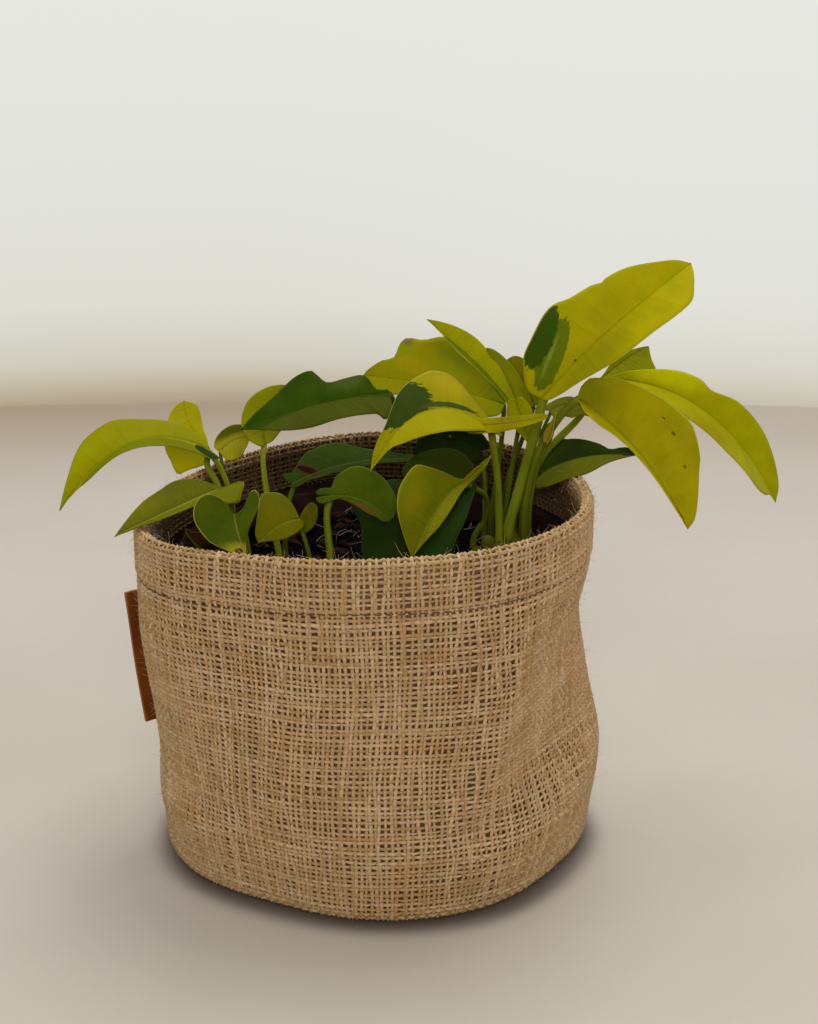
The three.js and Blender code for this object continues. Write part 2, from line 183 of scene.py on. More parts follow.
def addMottle(tree, scale, edge, softness, place=None):
    vector = objectPlace(tree) if place is None else place
    inputs = {"Vector": vector, "Scale": scale, "Edge": edge, "Softness": softness}
    return useGroup(tree, mottle, inputs)


def addFibre(tree, along, around):
    inputs = {"Vector": uvPlace(tree), "Along": along, "Round": around}
    return useGroup(tree, fibre, inputs)


# Tubes: yarns, stalks, roots and stitches, all swept along rows of points

def roundSection(sides, wide=1.0, tall=1.0):
    turns = np.pi / 2 + np.arange(sides) * 2 * np.pi / sides
    return np.stack([wide * np.cos(turns), tall * np.sin(turns)], 1)


def unit(vectors):
    length = np.linalg.norm(vectors, axis=-1, keepdims=True)
    return vectors / np.maximum(length, 1e-9)


def sweepTubes(name, centres, facing, radii, section, closed=False, tint=None):
    # centres is (tubes, steps, 3) in millimetres, facing turns the section's top
    tubes, steps = centres.shape[:2]
    sides = len(section)
    if closed:
        heading = np.roll(centres, -1, 1) - np.roll(centres, 1, 1)
    else:
        heading = np.gradient(centres, axis=1)
    heading = unit(heading)
    side = unit(np.cross(heading, facing))
    up = np.cross(side, heading)
    ring = section[:, :1] * side[:, :, None] + section[:, 1:] * up[:, :, None]
    points = centres[:, :, None] + np.asarray(radii)[..., None, None] * ring
    index = np.arange(tubes * steps * sides).reshape(tubes, steps, sides)
    low, high = (index, np.roll(index, -1, 1)) if closed else (index[:, :-1], index[:, 1:])
    low, high = low.reshape(-1, sides), high.reshape(-1, sides)
    walls = np.stack([low, high, np.roll(high, -1, 1), np.roll(low, -1, 1)], -1)
    faces = walls.reshape(-1, 4).tolist()
    spans = walls.shape[0] // tubes
    if not closed:
        faces += index[:, 0].tolist() + index[:, -1, ::-1].tolist()
    mesh = bpy.data.meshes.new(name)
    mesh.from_pydata((points.reshape(-1, 3) * mm).tolist(), [], faces)
    yarnMap = mesh.uv_layers.new(name="yarnMap")
    run = np.tile(np.arange(spans), tubes)[:, None, None] + np.array([0, 1, 1, 0])
    tube = np.repeat(np.arange(tubes), spans)[:, None, None]
    lap = np.arange(sides)[None, :, None] + np.array([0, 0, 1, 1])
    run, lap = np.broadcast_arrays(run / spans, (tube + lap / sides) / tubes)
    places = np.zeros((len(mesh.loops), 2))
    places[:run.size] = np.stack([run.ravel(), lap.ravel()], 1)
    yarnMap.data.foreach_set("uv", places.ravel())
    if tint is not None:
        shade = mesh.attributes.new("tint", "FLOAT", "POINT")
        shade.data.foreach_set("value", np.repeat(np.ravel(tint), sides))
    mesh.shade_smooth()
    piece = bpy.data.objects.new(name, mesh)
    bpy.context.collection.objects.link(piece)
    return piece


def keepPiece(piece, material, slot, *nodes):
    piece.data.materials.clear()
    piece.data.materials.append(material)
    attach(piece, "root")
    if nodes:
        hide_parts(*nodes)


seamGap = 0.02 * mm  # points nearer than this are merged


def editAll(piece):
    bpy.context.view_layer.objects.active = piece
    bpy.ops.object.mode_set(mode="EDIT")
    bpy.ops.mesh.select_all(action="SELECT")


def mergeSeams(piece):
    editAll(piece)
    bpy.ops.mesh.remove_doubles(threshold=seamGap)
    bpy.ops.mesh.normals_make_consistent(inside=False)
    bpy.ops.mesh.select_all(action="DESELECT")
    bpy.ops.object.mode_set(mode="OBJECT")
    piece.data.shade_smooth()
    piece.select_set(False)


def throughFour(a, b, c, d, f):
    # a smooth value, share f of the way from b to c, with a and d on either side
    return 0.5 * (2 * b + (c - a) * f + (2 * a - 5 * b + 4 * c - d) * f * f
                  + (3 * b - a - 3 * c + d) * f * f * f)


def smoothRound(values, turn):
    # a smooth value through evenly spaced ones round a full turn
    values = np.asarray(values, float)
    place = np.mod(turn, 1) * len(values)
    k = np.floor(place).astype(int)
    f = place - k
    return throughFour(*(values[(k + step) % len(values)] for step in (-1, 0, 1, 2)), f)


def easeStep(value, low, high):
    share = np.clip((value - low) / (high - low), 0, 1)
    return share * share * (3 - 2 * share)


def wander(count, place, waves, size):
    # for each of count threads, a smooth random drift along place (0 to 1, closed)
    drift = np.zeros((count, np.size(place)))
    for wave in waves:
        phase = chance.uniform(0, 1, (count, 1))
        strength = chance.normal(0, 1, (count, 1))
        drift += strength * np.sin(2 * np.pi * (wave * np.ravel(place)[None, :] + phase))
    return size * drift / math.sqrt(len(waves))


# Sack: its outline, with radii every 30 degrees from +X towards +Y. The rim's radii hold from
# rimShare of the height up, the belly's at bellyShare of it.

sack = {
    "height": 140, "rimTilt": 3.5, "bellyShare": 0.3, "rimShare": 0.75,
    "rimRadii": [81, 81, 84, 92, 87, 83, 87, 93, 84, 83, 87, 86],
    "bellyRadii": [88, 86, 84, 87, 84, 84, 84, 86, 82, 83, 86, 86],
    "baseRadii": [84, 80, 80, 82, 80, 80, 83, 82, 76, 79, 81, 80],
    "edgeRadius": 7, "yarnDepth": 1.3, "rimFold": 1.55, "rimDrop": 2, "hemEnd": 120,
    "underFold": 16, "hemLine": 120.5, "hemStep": 0.5, "hemRise": 2, "hemGroove": 0.6,
    "grooveTall": 0.9, "edgeSteps": 12, "rimSteps": 16,
}

# Folds and dents, each (turn in degrees, height, how wide in degrees, how tall, lean, how far
# out, sharpness). The lean is how many degrees a fold moves round for each millimetre up.
folds = [
    (-57, 74, 7, 26, 0.13, 1.6, 1.3), (-88, 72, 20, 34, 0.0, -2.6, 2),
    (-46, 24, 20, 12, 0.8, 2.4, 2), (-62, 38, 6, 6, 0.3, -2.4, 2),
    (-152, 26, 18, 9, -0.8, 1.6, 2), (-140, 40, 16, 7, -0.8, -1.4, 2),
    (-112, 58, 9, 30, 0.2, 0.9, 2), (150, 70, 12, 36, 0.15, 1.6, 1.3),
    (115, 60, 20, 34, 0.0, -2.4, 2), (62, 66, 10, 38, -0.2, 1.8, 1.3),
    (30, 40, 20, 20, 0.3, -2.0, 2),
]


# The side that has fallen in at the right, a nearly flat panel between a crease and the
# sack's own curve. low and rise are where it starts above the base, lowLean per degree.
panel = {
    "crease": -57, "lean": 0.16, "height": 75, "end": 22, "low": 30, "lowLean": 0.2,
    "rise": 24, "fade": 84, "gone": 124, "depth": 8.2,
}


def panelDepth(turn, height):
    degrees = (turn * 360 + 180) % 360 - 180
    crease = panel["crease"] + panel["lean"] * (height - panel["height"])
    across = np.clip((degrees - crease) / (panel["end"] - crease), 0, 1)
    low = panel["low"] + panel["lowLean"] * (degrees - crease)
    tall = easeStep(height, low, low + panel["rise"]) * (
        1 - easeStep(height, panel["fade"], panel["gone"]))
    hollow = 27 / 4 * across * (1 - across) ** 2  # 1 at a third of the way across
    return -panel["depth"] * hollow * tall


def foldDepth(turn, height):
    depth = np.zeros(np.broadcast(turn, height).shape)
    for middle, level, wide, tall, lean, out, sharp in folds:
        middle = middle + lean * (height - level)
        away = np.abs((turn * 360 - middle + 180) % 360 - 180) / wide
        up = (height - level) / tall
        depth += out * np.exp(-away ** sharp - up ** 2)
    line = sack["hemLine"]
    hem = sack["hemStep"] * easeStep(height, line, line + sack["hemRise"])
    groove = sack["hemGroove"] * np.exp(-((height - line) / sack["grooveTall"]) ** 2)
    return depth + panelDepth(turn, height) + hem - groove


def sackRadius(turn, height):
    share = np.clip(height / sack["height"], 0, 1)
    base = smoothRound(sack["baseRadii"], turn)
    belly = smoothRound(sack["bellyRadii"], turn)
    rim = smoothRound(sack["rimRadii"], turn)
    low = base + (belly - base) * easeStep(share, 0, sack["bellyShare"])
    high = (rim - belly) * easeStep(share, sack["bellyShare"], sack["rimShare"])
    return low + high + foldDepth(turn, height)


def clothProfile():
    # middle of the cloth as (inset, height), from under the base over the rim to the hem's end
    edge, depth, top = sack["edgeRadius"], sack["yarnDepth"], sack["height"] - sack["rimDrop"]
    quarter = np.linspace(0, np.pi / 2, sack["edgeSteps"])
    half = np.linspace(0, np.pi, sack["rimSteps"])
    inset = np.concatenate([
        [sack["underFold"]],
        edge - (edge - depth) * np.sin(quarter),
        depth + sack["rimFold"] * (1 - np.cos(half)),
        [depth + 2 * sack["rimFold"]],
    ])
    height = np.concatenate([
        [depth],
        edge - (edge - depth) * np.cos(quarter),
        top + sack["rimFold"] * np.sin(half),
        [sack["hemEnd"]],
    ])
    return inset, height


clothInset, clothHeight = clothProfile()
clothSteps = np.hypot(np.diff(clothInset), np.diff(clothHeight))
clothAlong = np.concatenate([[0], np.cumsum(clothSteps)])
clothLength = clothAlong[-1]


def clothSpot(turn, along, out):
    # a point of the cloth, out millimetres proud of its middle, and the cloth's normal
    inset = np.interp(along, clothAlong, clothInset)
    height = np.interp(along, clothAlong, clothHeight)
    step = 0.4
    insetRise = np.interp(along + step, clothAlong, clothInset)
    insetRise = insetRise - np.interp(along - step, clothAlong, clothInset)
    heightRise = np.interp(along + step, clothAlong, clothHeight)
    heightRise = heightRise - np.interp(along - step, clothAlong, clothHeight)
    length = np.maximum(np.hypot(insetRise, heightRise), 1e-6)
    outward, upward = heightRise / length, insetRise / length
    radius = sackRadius(turn, height) - inset + out * outward
    angle = turn * 2 * np.pi
    x, y = radius * np.cos(angle), radius * np.sin(angle)
    share = np.clip(height / sack["height"], 0, 1)
    z = height + out * upward + sack["rimTilt"] * x / sack["rimRadii"][0] * share ** 2
    spot = np.stack(np.broadcast_arrays(x, y, z), -1)
    normal = np.stack(np.broadcast_arrays(
        outward * np.cos(angle), outward * np.sin(angle), upward), -1)
    return spot, normal


def alongAt(height):
    # how far along the outer wall that height is
    wall = clothAlong[np.argmax(clothHeight > sack["edgeRadius"] - 0.01)]
    return wall + height - sack["edgeRadius"]


# Jute cloth: warp yarns up the wall, over the rim and down inside, weft yarns round it

weave = {
    "warps": 268, "pitch": 1.95, "yarn": 0.585, "crimp": 0.46, "section": (5, 1.1, 0.95),
    "slub": 0.17, "thinnest": 0.62, "thickest": 1.5, "warpDrift": 0.26, "weftDrift": 0.3,
    "sway": 0.3, "slack": 0.35, "trim": 0.2, "tintMiddle": 0.5, "tintSpread": 0.34,
    # painted shade, darker inside the sack between two heights counted on up the wall and over
    # the rim, and darker still in the back half from just under the rim up over it
    "paintedShade": 3, "paintedShadeHeights": (142, 156), "backShade": 1.7, "backHeights": (131, 138),
    "backTurns": (0.1, 0.6),
}

juteLooks = {
    # paintedShade is the colour of the shade painted inside the sack and over the back of the rim
    "pale": "e2c396", "mid": "be9864", "deep": "745030", "gold": "c08a3c", "paintedShade": "38240a",
    # lining is partly a liner's own colour and partly painted shade seen through the holes; inside is
    # painted shade on the lining's inward face
    "lining": "6a4a2a", "liningGrey": "6e5638", "liningGrit": "1c140c", "inside": "342010",
    "hem": "866742", "stitch": "5a3d1c", "stitchPale": "7a5a3a",
}


def juteMaterial(name, pale, mid, deep, gold):
    material, tree, shader = newMaterial(name)
    tint = addNode(tree, "Attribute", {}, attribute_name="tint").outputs["Fac"]
    streaks = addFibre(tree, 420.0, 900.0)
    aged = addMottle(tree, 45.0, 0.64, 0.1)
    body = addMix(tree, addStep(tree, tint, 0.0, 1.0), paint(mid), paint(pale))
    body = addTone(tree, body, paint(deep), streaks["Streak"], 0.45)
    body = addTone(tree, body, paint(gold), aged["Mask"], 0.3)
    # painted shade: where the tint runs far below zero, inside the sack and over the back of the rim
    body = addTone(tree, body, paint(juteLooks["paintedShade"]), addStep(tree, tint, -0.4, -2.0), 0.82)
    rough = addMath(tree, "MULTIPLY_ADD", streaks["Streak"], 0.12, 0.82)
    plug(tree, shader, {
        "Base Color": body, "Roughness": rough, "Specular IOR Level": 0.2,
        "Normal": addBump(tree, streaks["Height"], 0.0002)})
    return material


def makeWeave():
    turns = np.arange(weave["warps"]) / weave["warps"]
    rows = int(clothLength / weave["pitch"])
    alongs = (np.arange(rows) + 0.5) * clothLength / rows
    over = np.where((np.arange(weave["warps"])[:, None] + np.arange(rows)) % 2, 1.0, -1.0)
    spread = wander(weave["warps"], alongs / clothLength, (1, 2.3, 4.1, 7.7), 1.0)
    sway = wander(1, alongs / clothLength, (1.3, 2.9), 1.0)
    moved = weave["warpDrift"] * spread + weave["sway"] * sway
    turnGrid = turns[:, None] + moved / weave["warps"]
    lean = wander(rows, turns, (1, 2, 3, 5, 11), 1.0).T
    slack = wander(1, turns, (2, 3, 7), 1.0).T
    alongGrid = alongs[None, :] + weave["weftDrift"] * lean + weave["slack"] * slack
    alongGrid = np.clip(alongGrid, weave["trim"], clothLength - weave["trim"])
    section = roundSection(*weave["section"])
    yarn = weave["yarn"]
    warpSize = 1 + weave["slub"] * wander(weave["warps"], alongs / clothLength, (0, 3, 9), 1.0)
    weftSize = 1 + weave["slub"] * wander(rows, turns, (0, 5, 13, 29), 1.0)
    warpSize = np.clip(warpSize, weave["thinnest"], weave["thickest"])
    weftSize = np.clip(weftSize, weave["thinnest"], weave["thickest"])
    warps, warpFacing = clothSpot(turnGrid, alongGrid, weave["crimp"] * over)
    wefts, weftFacing = clothSpot(turnGrid, alongGrid, -weave["crimp"] * over)
    wefts, weftFacing = np.swapaxes(wefts, 0, 1), np.swapaxes(weftFacing, 0, 1)
    # painted shade on the yarns, inside the sack and over the back half of the rim
    paintedShade = weave["paintedShade"] * easeStep(alongs, *(alongAt(z) for z in weave["paintedShadeHeights"]))
    behind = easeStep(np.sin(2 * np.pi * turns), *weave["backTurns"])[:, None]
    shade = easeStep(alongs, *(alongAt(z) for z in weave["backHeights"]))
    tint = weave["tintMiddle"] - paintedShade - weave["backShade"] * behind * shade
    vary = weave["tintSpread"]
    warpTint = tint + wander(weave["warps"], alongs / clothLength, (0, 1.7, 6), vary)
    weftTint = tint.T + wander(rows, turns, (0, 3, 14), vary)
    material = juteMaterial("juteYarn", *(juteLooks[k] for k in ("pale", "mid", "deep", "gold")))
    half, middle = weave["warps"] // 2, rows // 2
    warpParts = {"sack_warps_back": slice(0, half), "sack_warps_front": slice(half, None)}
    weftParts = {"sack_wefts_lower": slice(0, middle), "sack_wefts_upper": slice(middle, None)}
    pieces = []
    for name, part in warpParts.items():
        pieces.append(sweepTubes(
            name, warps[part], warpFacing[part], yarn * warpSize[part], section,
            tint=warpTint[part]))
    for name, part in weftParts.items():
        pieces.append(sweepTubes(
            name, wefts[part], weftFacing[part], yarn * weftSize[part], section, True,
            weftTint[part]))
    for piece in pieces:
        keepPiece(piece, material, "jute_cloth", "jute_sack")
    print("sack woven,", weave["warps"], "warps,", rows, "wefts")


makeWeave()


# Lining behind the yarns, one thin closed sheet from the base up into the hem. Its brown is
# partly a liner's own colour and partly painted shade seen through the holes

lining = {
    "around": 120, "outer": 2.1, "inner": 2.6, "top": 138.6, "base": 1.7, "thick": 0.6,
    "low": 10, "levels": 26, "hemFrom": 119, "hemTo": 120.5,
}


def liningRows():
    # share of the radius, inset and height of each ring
    outer, inner, base = lining["outer"], lining["inner"], lining["base"]
    heights = list(np.linspace(lining["low"], lining["top"], lining["levels"]))
    rows = [(0, 0, base), (0.5, 0, base), (1, 16, base), (1, 8.5, base + 0.1), (1, 4.5, 4)]
    rows += [(1, outer, height) for height in heights]
    rows += [(1, inner, height) for height in reversed(heights)]
    top = base + lining["thick"]
    rows += [(1, 5, 4.6), (1, 9, top + 0.1), (1, 16, top), (0.5, 0, top), (0, 0, top)]
    return rows


def makeLining():
    rows = liningRows()
    bpy.ops.mesh.primitive_grid_add(
        x_subdivisions=lining["around"], y_subdivisions=len(rows) - 1, size=1)
    sheet = bpy.context.object
    sheet.name = "sack_lining"
    for vertex in sheet.data.vertices:
        turn = vertex.co.x + 0.5
        share, inset, height = rows[round((vertex.co.y + 0.5) * (len(rows) - 1))]
        radius = share * float(sackRadius(turn, height)) - inset
        x, y = radius * math.cos(2 * math.pi * turn), radius * math.sin(2 * math.pi * turn)
        tilt = sack["rimTilt"] * x / sack["rimRadii"][0] * (height / sack["height"]) ** 2
        vertex.co = Vector((x, y, height + tilt)) * mm
    mergeSeams(sheet)
    material, tree, shader = newMaterial("sackLining")
    patches = addMottle(tree, 60.0, 0.6, 0.07)
    grain = addMottle(tree, 400.0, 0.5, 0.2)
    body = addMix(tree, patches["Mask"], paint(juteLooks["lining"]), paint(juteLooks["liningGrey"]))
    height = partsOf(tree, objectPlace(tree))["Z"]
    hem = addStep(tree, height, lining["hemFrom"] * mm, lining["hemTo"] * mm)
    body = addMix(tree, hem, body, paint(juteLooks["hem"]))
    rowsUp = partsOf(tree, uvPlace(tree, "UVMap"))["Y"]
    facingIn = addStep(tree, rowsUp, 0.49, 0.51)  # the sheet turns in at the middle of its rows
    # painted shade: the inward face is darker, as shade inside the sack
    body = addMix(tree, facingIn, body, paint(juteLooks["inside"]))
    body = addTone(tree, body, paint(juteLooks["liningGrit"]), grain["Mask"], 0.4)
    plug(tree, shader, {
        "Base Color": body, "Roughness": addMath(tree, "MULTIPLY_ADD", grain["Mask"], 0.2, 0.55),
        "Normal": addBump(tree, grain["Height"], 0.0004)})
    keepPiece(sheet, material, "jute_cloth")
    print("lining made")


makeLining()


# Hem stitches, one row of short dark ones round the sack

hemStitch = {
    "length": 3.4, "gap": 0.6, "thread": 0.26, "steps": 6, "lift": 1.0, "dip": 1.1,
    "waver": 0.4, "radius": 85,
}


def makeStitches():
    reach = 2 * math.pi * hemStitch["radius"]
    count = int(reach / (hemStitch["length"] + hemStitch["gap"]))
    start = np.arange(count)[:, None] / count
    along = np.linspace(0, 1, hemStitch["steps"])[None, :]
    turn = start + along * hemStitch["length"] / reach
    waver = wander(1, turn.ravel(), (1, 2, 5), hemStitch["waver"]).reshape(turn.shape)
    height = sack["hemLine"] + waver
    lift = hemStitch["lift"] - hemStitch["dip"] * np.abs(2 * along - 1) ** 4
    spots, facing = clothSpot(turn, alongAt(height), lift)
    thread = np.full(turn.shape, hemStitch["thread"])
    stitches = sweepTubes("hem_stitches", spots, facing, thread, roundSection(5))
    material, tree, shader = newMaterial("stitchThread")
    twist = addFibre(tree, 40.0, 600.0)
    body = addMix(tree, twist["Streak"], paint(juteLooks["stitch"]), paint(juteLooks["stitchPale"]))
    plug(tree, shader, {
        "Base Color": body, "Roughness": 0.8,
        "Normal": addBump(tree, twist["Height"], 0.0001)})
    keepPiece(stitches, material, "jute_cloth")
    print("hem stitched,", count, "stitches")


makeStitches()


# Loose fibres: fuzz all over the cloth, more of it at the rim, and a frayed spot inside the
# left rim. tones are the pale, middle, deep and golden ones.

fuzz = {
    "count": 3400, "rimCount": 900, "rimHeights": (134, 143), "length": 2.6, "thick": 0.055,
    "start": 6, "end": 4, "steps": 4, "stand": 0.9, "clear": 0.7, "curl": 0.5,
    "tones": ("ead2a8", "cfac79", "a98455", "d8b070"),
}
fray = {
    "count": 150, "turn": 0.535, "spread": 0.009, "low": 125, "high": 138, "length": 4,
    "thick": 0.14, "stand": 1.2, "tones": ("d6d2c6", "8f8c88", "5b5a5c", "b99a6a"),
}


def strayFibres(name, turn, along, length, look):
    # each starts on the cloth at a turn and along its profile, and stands off it a little
    count, steps, thick = len(turn), fuzz["steps"], look["thick"]
    spots, normals = clothSpot(turn, along, fuzz["clear"])
    drift = unit(chance.normal(0, 1, (count, 3)) + look["stand"] * normals)
    curl = chance.normal(0, fuzz["curl"], (count, 3))
    run = np.linspace(0, 1, steps)[None, :, None]
    path = spots[:, None] + length[:, None, None] * (
        drift[:, None] * run + curl[:, None] * run ** 2)
    path[..., 2] = np.maximum(path[..., 2], 4 * thick)  # none goes into the ground
    facing = np.broadcast_to(normals[:, None] + 0.01, path.shape)
    size = thick * np.linspace(1, 0.5, steps)[None, :] * chance.uniform(0.7, 1.4, (count, 1))
    tint = np.repeat(chance.uniform(0.2, 1, count), steps)
    return sweepTubes(name, path, facing, size, roundSection(3), tint=tint)


def makeFuzz():
    count, rimCount = fuzz["count"], fuzz["rimCount"]
    turn = chance.uniform(0, 1, count + rimCount)
    wall = chance.uniform(fuzz["start"], clothLength - fuzz["end"], count)
    rim = alongAt(chance.uniform(*fuzz["rimHeights"], rimCount))
    length = fuzz["length"] * chance.uniform(0.3, 1.3, count + rimCount)
    fibres = strayFibres("jute_fuzz", turn, np.concatenate([wall, rim]), length, fuzz)
    keepPiece(fibres, juteMaterial("juteFibre", *fuzz["tones"]), "jute_cloth")
    turn = fray["turn"] + chance.normal(0, fray["spread"], fray["count"])
    inside = clothLength - chance.uniform(1, fray["high"] - fray["low"], fray["count"])
    length = fray["length"] * chance.uniform(0.4, 1.2, fray["count"])
    seam = strayFibres("seam_fray", turn, inside, length, fray)
    keepPiece(seam, juteMaterial("frayFibre", *fray["tones"]), "jute_cloth")
    print("fibres made")


makeFuzz()


# Nursery pot, spun from one side of its wall

pot = {
    "foot": 3.3, "height": 116, "baseRadius": 58, "topRadius": 74, "wall": 1.5,
    "lip": 1.6, "lipDepth": 9, "floor": 2.2, "ring": (46, 48), "hollow": 0.8, "corner": 1.5,
    "spins": 72, "brown": "220e08", "dusty": "2e1c14",
}


def potRadius(height):
    share = (height - pot["foot"]) / pot["height"]
    return pot["baseRadius"] + (pot["topRadius"] - pot["baseRadius"]) * share


def drawOutline(name, outline):
    # one vertex, extruded from point to point in the XZ plane, and left in edit mode
    bpy.ops.mesh.primitive_plane_add(size=mm)
    piece = bpy.context.object
    piece.name = name
    editAll(piece)
    bpy.ops.mesh.merge(type="CENTER")
    bpy.ops.transform.translate(value=(outline[0][0] * mm, 0, outline[0][1] * mm))
    for (fromX, fromZ), (toX, toZ) in zip(outline, outline[1:]):
        step = ((toX - fromX) * mm, 0, (toZ - fromZ) * mm)
        bpy.ops.mesh.extrude_region_move(TRANSFORM_OT_translate={"value": step})
    return piece


def makePot():
    foot, corner = pot["foot"], pot["corner"]
    top, floor, hollow = foot + pot["height"], foot + pot["floor"], foot + pot["hollow"]
    under = top - pot["lipDepth"]
    lip = pot["topRadius"] + pot["lip"]
    inside = pot["topRadius"] - pot["wall"]
    ringInner, ringOuter = pot["ring"]
    outline = [
        (0, hollow), (ringInner, hollow), (ringOuter, foot),
        (pot["baseRadius"] - corner, foot), (pot["baseRadius"], foot + corner),
        (potRadius(under), under), (potRadius(under) + pot["lip"], under + 0.8),
        (lip, top - 0.7), (lip - 0.7, top), (inside + 0.5, top), (inside, top - 0.6),
        (potRadius(floor) - pot["wall"], floor), (0, floor),
    ]
    cup = drawOutline("nursery_pot_spun", outline)
    bpy.ops.mesh.select_all(action="SELECT")
    bpy.ops.mesh.spin(
        steps=pot["spins"], angle=2 * math.pi, center=(0, 0, 0), axis=(0, 0, 1))
    bpy.ops.object.mode_set(mode="OBJECT")
    mergeSeams(cup)
    cup.select_set(True)
    bpy.ops.object.shade_smooth_by_angle(angle=math.radians(35))
    cup.select_set(False)
    material, tree, shader = newMaterial("potPlastic")
    dust = addMottle(tree, 90.0, 0.6, 0.15)
    body = addMix(tree, dust["Mask"], paint(pot["brown"]), paint(pot["dusty"]))
    plug(tree, shader, {
        "Base Color": body, "Specular IOR Level": 0.08,
        "Roughness": addMath(tree, "MULTIPLY_ADD", dust["Mask"], 0.3, 0.45),
        "Normal": addBump(tree, dust["Height"], 0.0003)})
    keepPiece(cup, material, "pot_plastic", "nursery_pot")
    print("pot spun")


makePot()


# Soil: a plug with an uneven face, crumbs, bark chips and fine pale roots on it

soil = {
    "level": 113, "fall": 3, "radius": 71.8, "cells": 84, "rough": 2.2, "foot": 57,
    "overPot": 2.6, "spread": 70,
    # loose bits, each (how many, smallest, largest, how flat, how high it sits)
    "crumbs": (760, 0.5, 1.5, 0.8, 0.3), "lumps": (130, 1.4, 3.2, 0.7, 0.2),
    "chips": (110, 1.2, 3.4, 0.3, 0.6),
    "roots": 90, "rootSteps": 7, "rootSpread": 68, "rootEnd": 69, "rootBend": 1.4,
    "rootLength": (4, 16), "rootArch": (0.3, 2.6), "rootThick": (0.09, 0.26), "rootLift": 0.3,
    # black, brown and the bark tones are the soil's own dark colours made darker still as painted
    # shade inside the sack
    "black": "030201", "brown": "0c0704", "bark": "1a0d06", "barkPale": "34200f",
    "root": "756b58", "rootStain": "5d4630",
}


def soilTop(x, y):
    share = math.hypot(x, y) / soil["radius"]
    spot = Vector((x, y, 3.7))
    bumps = noise.noise(spot * 0.09) + 0.6 * noise.noise(spot * 0.24)
    return soil["level"] - soil["fall"] * share ** 2 + soil["rough"] * bumps * (1 - share ** 6)


def discSpot(x, y):
    # a square from -1 to 1 mapped on a disc of radius 1
    return x * math.sqrt(1 - y * y / 2), y * math.sqrt(1 - x * x / 2)


def soilMaterial(name, dark, light, scale, edge):
    material, tree, shader = newMaterial(name)
    clods = addMottle(tree, scale, edge, 0.12)
    grit = addMottle(tree, 6 * scale, 0.55, 0.15)
    body = addMix(tree, clods["Mask"], paint(dark), paint(light))
    plug(tree, shader, {
        "Base Color": body, "Specular IOR Level": 0.02,
        "Roughness": addMath(tree, "MULTIPLY_ADD", grit["Mask"], 0.25, 0.7),
        "Normal": addBump(tree, grit["Height"], 0.0008)})
    return material


def makeSoilPlug():
    cells, bottom = soil["cells"], pot["foot"] + soil["overPot"]
    bpy.ops.mesh.primitive_grid_add(x_subdivisions=cells, y_subdivisions=cells, size=2)
    core = bpy.context.object
    core.name = "soil_plug"
    for vertex in core.data.vertices:
        x, y = discSpot(vertex.co.x, vertex.co.y)
        x, y = x * soil["radius"], y * soil["radius"]
        vertex.co = Vector((x, y, soilTop(x, y))) * mm
    drop = soil["level"] * mm
    editAll(core)
    bpy.ops.mesh.extrude_region_move(TRANSFORM_OT_translate={"value": (0, 0, -drop)})
    bpy.ops.object.mode_set(mode="OBJECT")
    narrow = soil["foot"] / soil["radius"]
    for vertex in core.data.vertices:
        if vertex.co.z < drop / 2:
            vertex.co.x *= narrow
            vertex.co.y *= narrow
            vertex.co.z = bottom * mm
    mergeSeams(core)
    keepPiece(core, soilMaterial("soilMix", soil["black"], soil["brown"], 160.0, 0.6),
              "soil", "potting_soil")


def scatterCopies(name, points, faces, places):
    # places is a list of matrices, in millimetres
    points = np.array(points, float)
    copies, count = [], len(points)
    allFaces = []
    for number, place in enumerate(places):
        turned = points @ np.array(place.to_3x3()).T + np.array(place.translation)
        copies.append(turned)
        allFaces += [[corner + number * count for corner in face] for face in faces]
    mesh = bpy.data.meshes.new(name)
    mesh.from_pydata((np.concatenate(copies) * mm).tolist(), [], allFaces)
    piece = bpy.data.objects.new(name, mesh)
    bpy.context.collection.objects.link(piece)
    return piece


def lumpShape(subdivisions, rough):
    bpy.ops.mesh.primitive_ico_sphere_add(subdivisions=subdivisions, radius=1)
    seed = bpy.context.object
    points = [tuple(v.co * chance.uniform(1 - rough, 1 + rough)) for v in seed.data.vertices]
    faces = [list(face.vertices) for face in seed.data.polygons]
    bpy.data.objects.remove(seed)
    return points, faces


def chipShape():
    bpy.ops.mesh.primitive_cube_add(size=2)
    seed = bpy.context.object
    editAll(seed)
    bpy.ops.mesh.bevel(offset=0.35, segments=1, affect="EDGES")
    bpy.ops.object.mode_set(mode="OBJECT")
    points = [tuple(v.co * chance.uniform(0.8, 1.1)) for v in seed.data.vertices]
    faces = [list(face.vertices) for face in seed.data.polygons]
    bpy.data.objects.remove(seed)
    return points, faces


def soilPlaces(count, low, high, flat, sink):
    # matrices that size, flatten, turn and set down so many bits, all over the soil's face
    places = []
    for _ in range(count):
        radius = soil["spread"] * math.sqrt(chance.uniform(0, 1))
        angle = chance.uniform(0, 2 * math.pi)
        x, y = radius * math.cos(angle), radius * math.sin(angle)
        size = chance.uniform(low, high)
        turn = Matrix.Rotation(chance.uniform(0, 6.3), 4, "Z")
        lean = Matrix.Rotation(chance.uniform(-0.6, 0.6), 4, "X")
        shape = Matrix.Diagonal((
            size * chance.uniform(0.7, 1.5), size, size * flat * chance.uniform(0.7, 1.3), 1))
        spot = Matrix.Translation((x, y, soilTop(x, y) + size * flat * sink))
        places.append(spot @ turn @ lean @ shape)
    return places


def makeSoilBits():
    crumbs = scatterCopies("soil_crumbs", *lumpShape(1, 0.25), soilPlaces(*soil["crumbs"]))
    lumps = scatterCopies("soil_lumps", *lumpShape(2, 0.16), soilPlaces(*soil["lumps"]))
    chips = scatterCopies("bark_chips", *chipShape(), soilPlaces(*soil["chips"]))
    dark = soilMaterial("soilCrumb", soil["black"], soil["brown"], 240.0, 0.52)
    bark = soilMaterial("barkChip", soil["bark"], soil["barkPale"], 200.0, 0.5)
    for piece, material in ((crumbs, dark), (lumps, dark), (chips, bark)):
        piece.data.shade_smooth()
        keepPiece(piece, material, "soil")


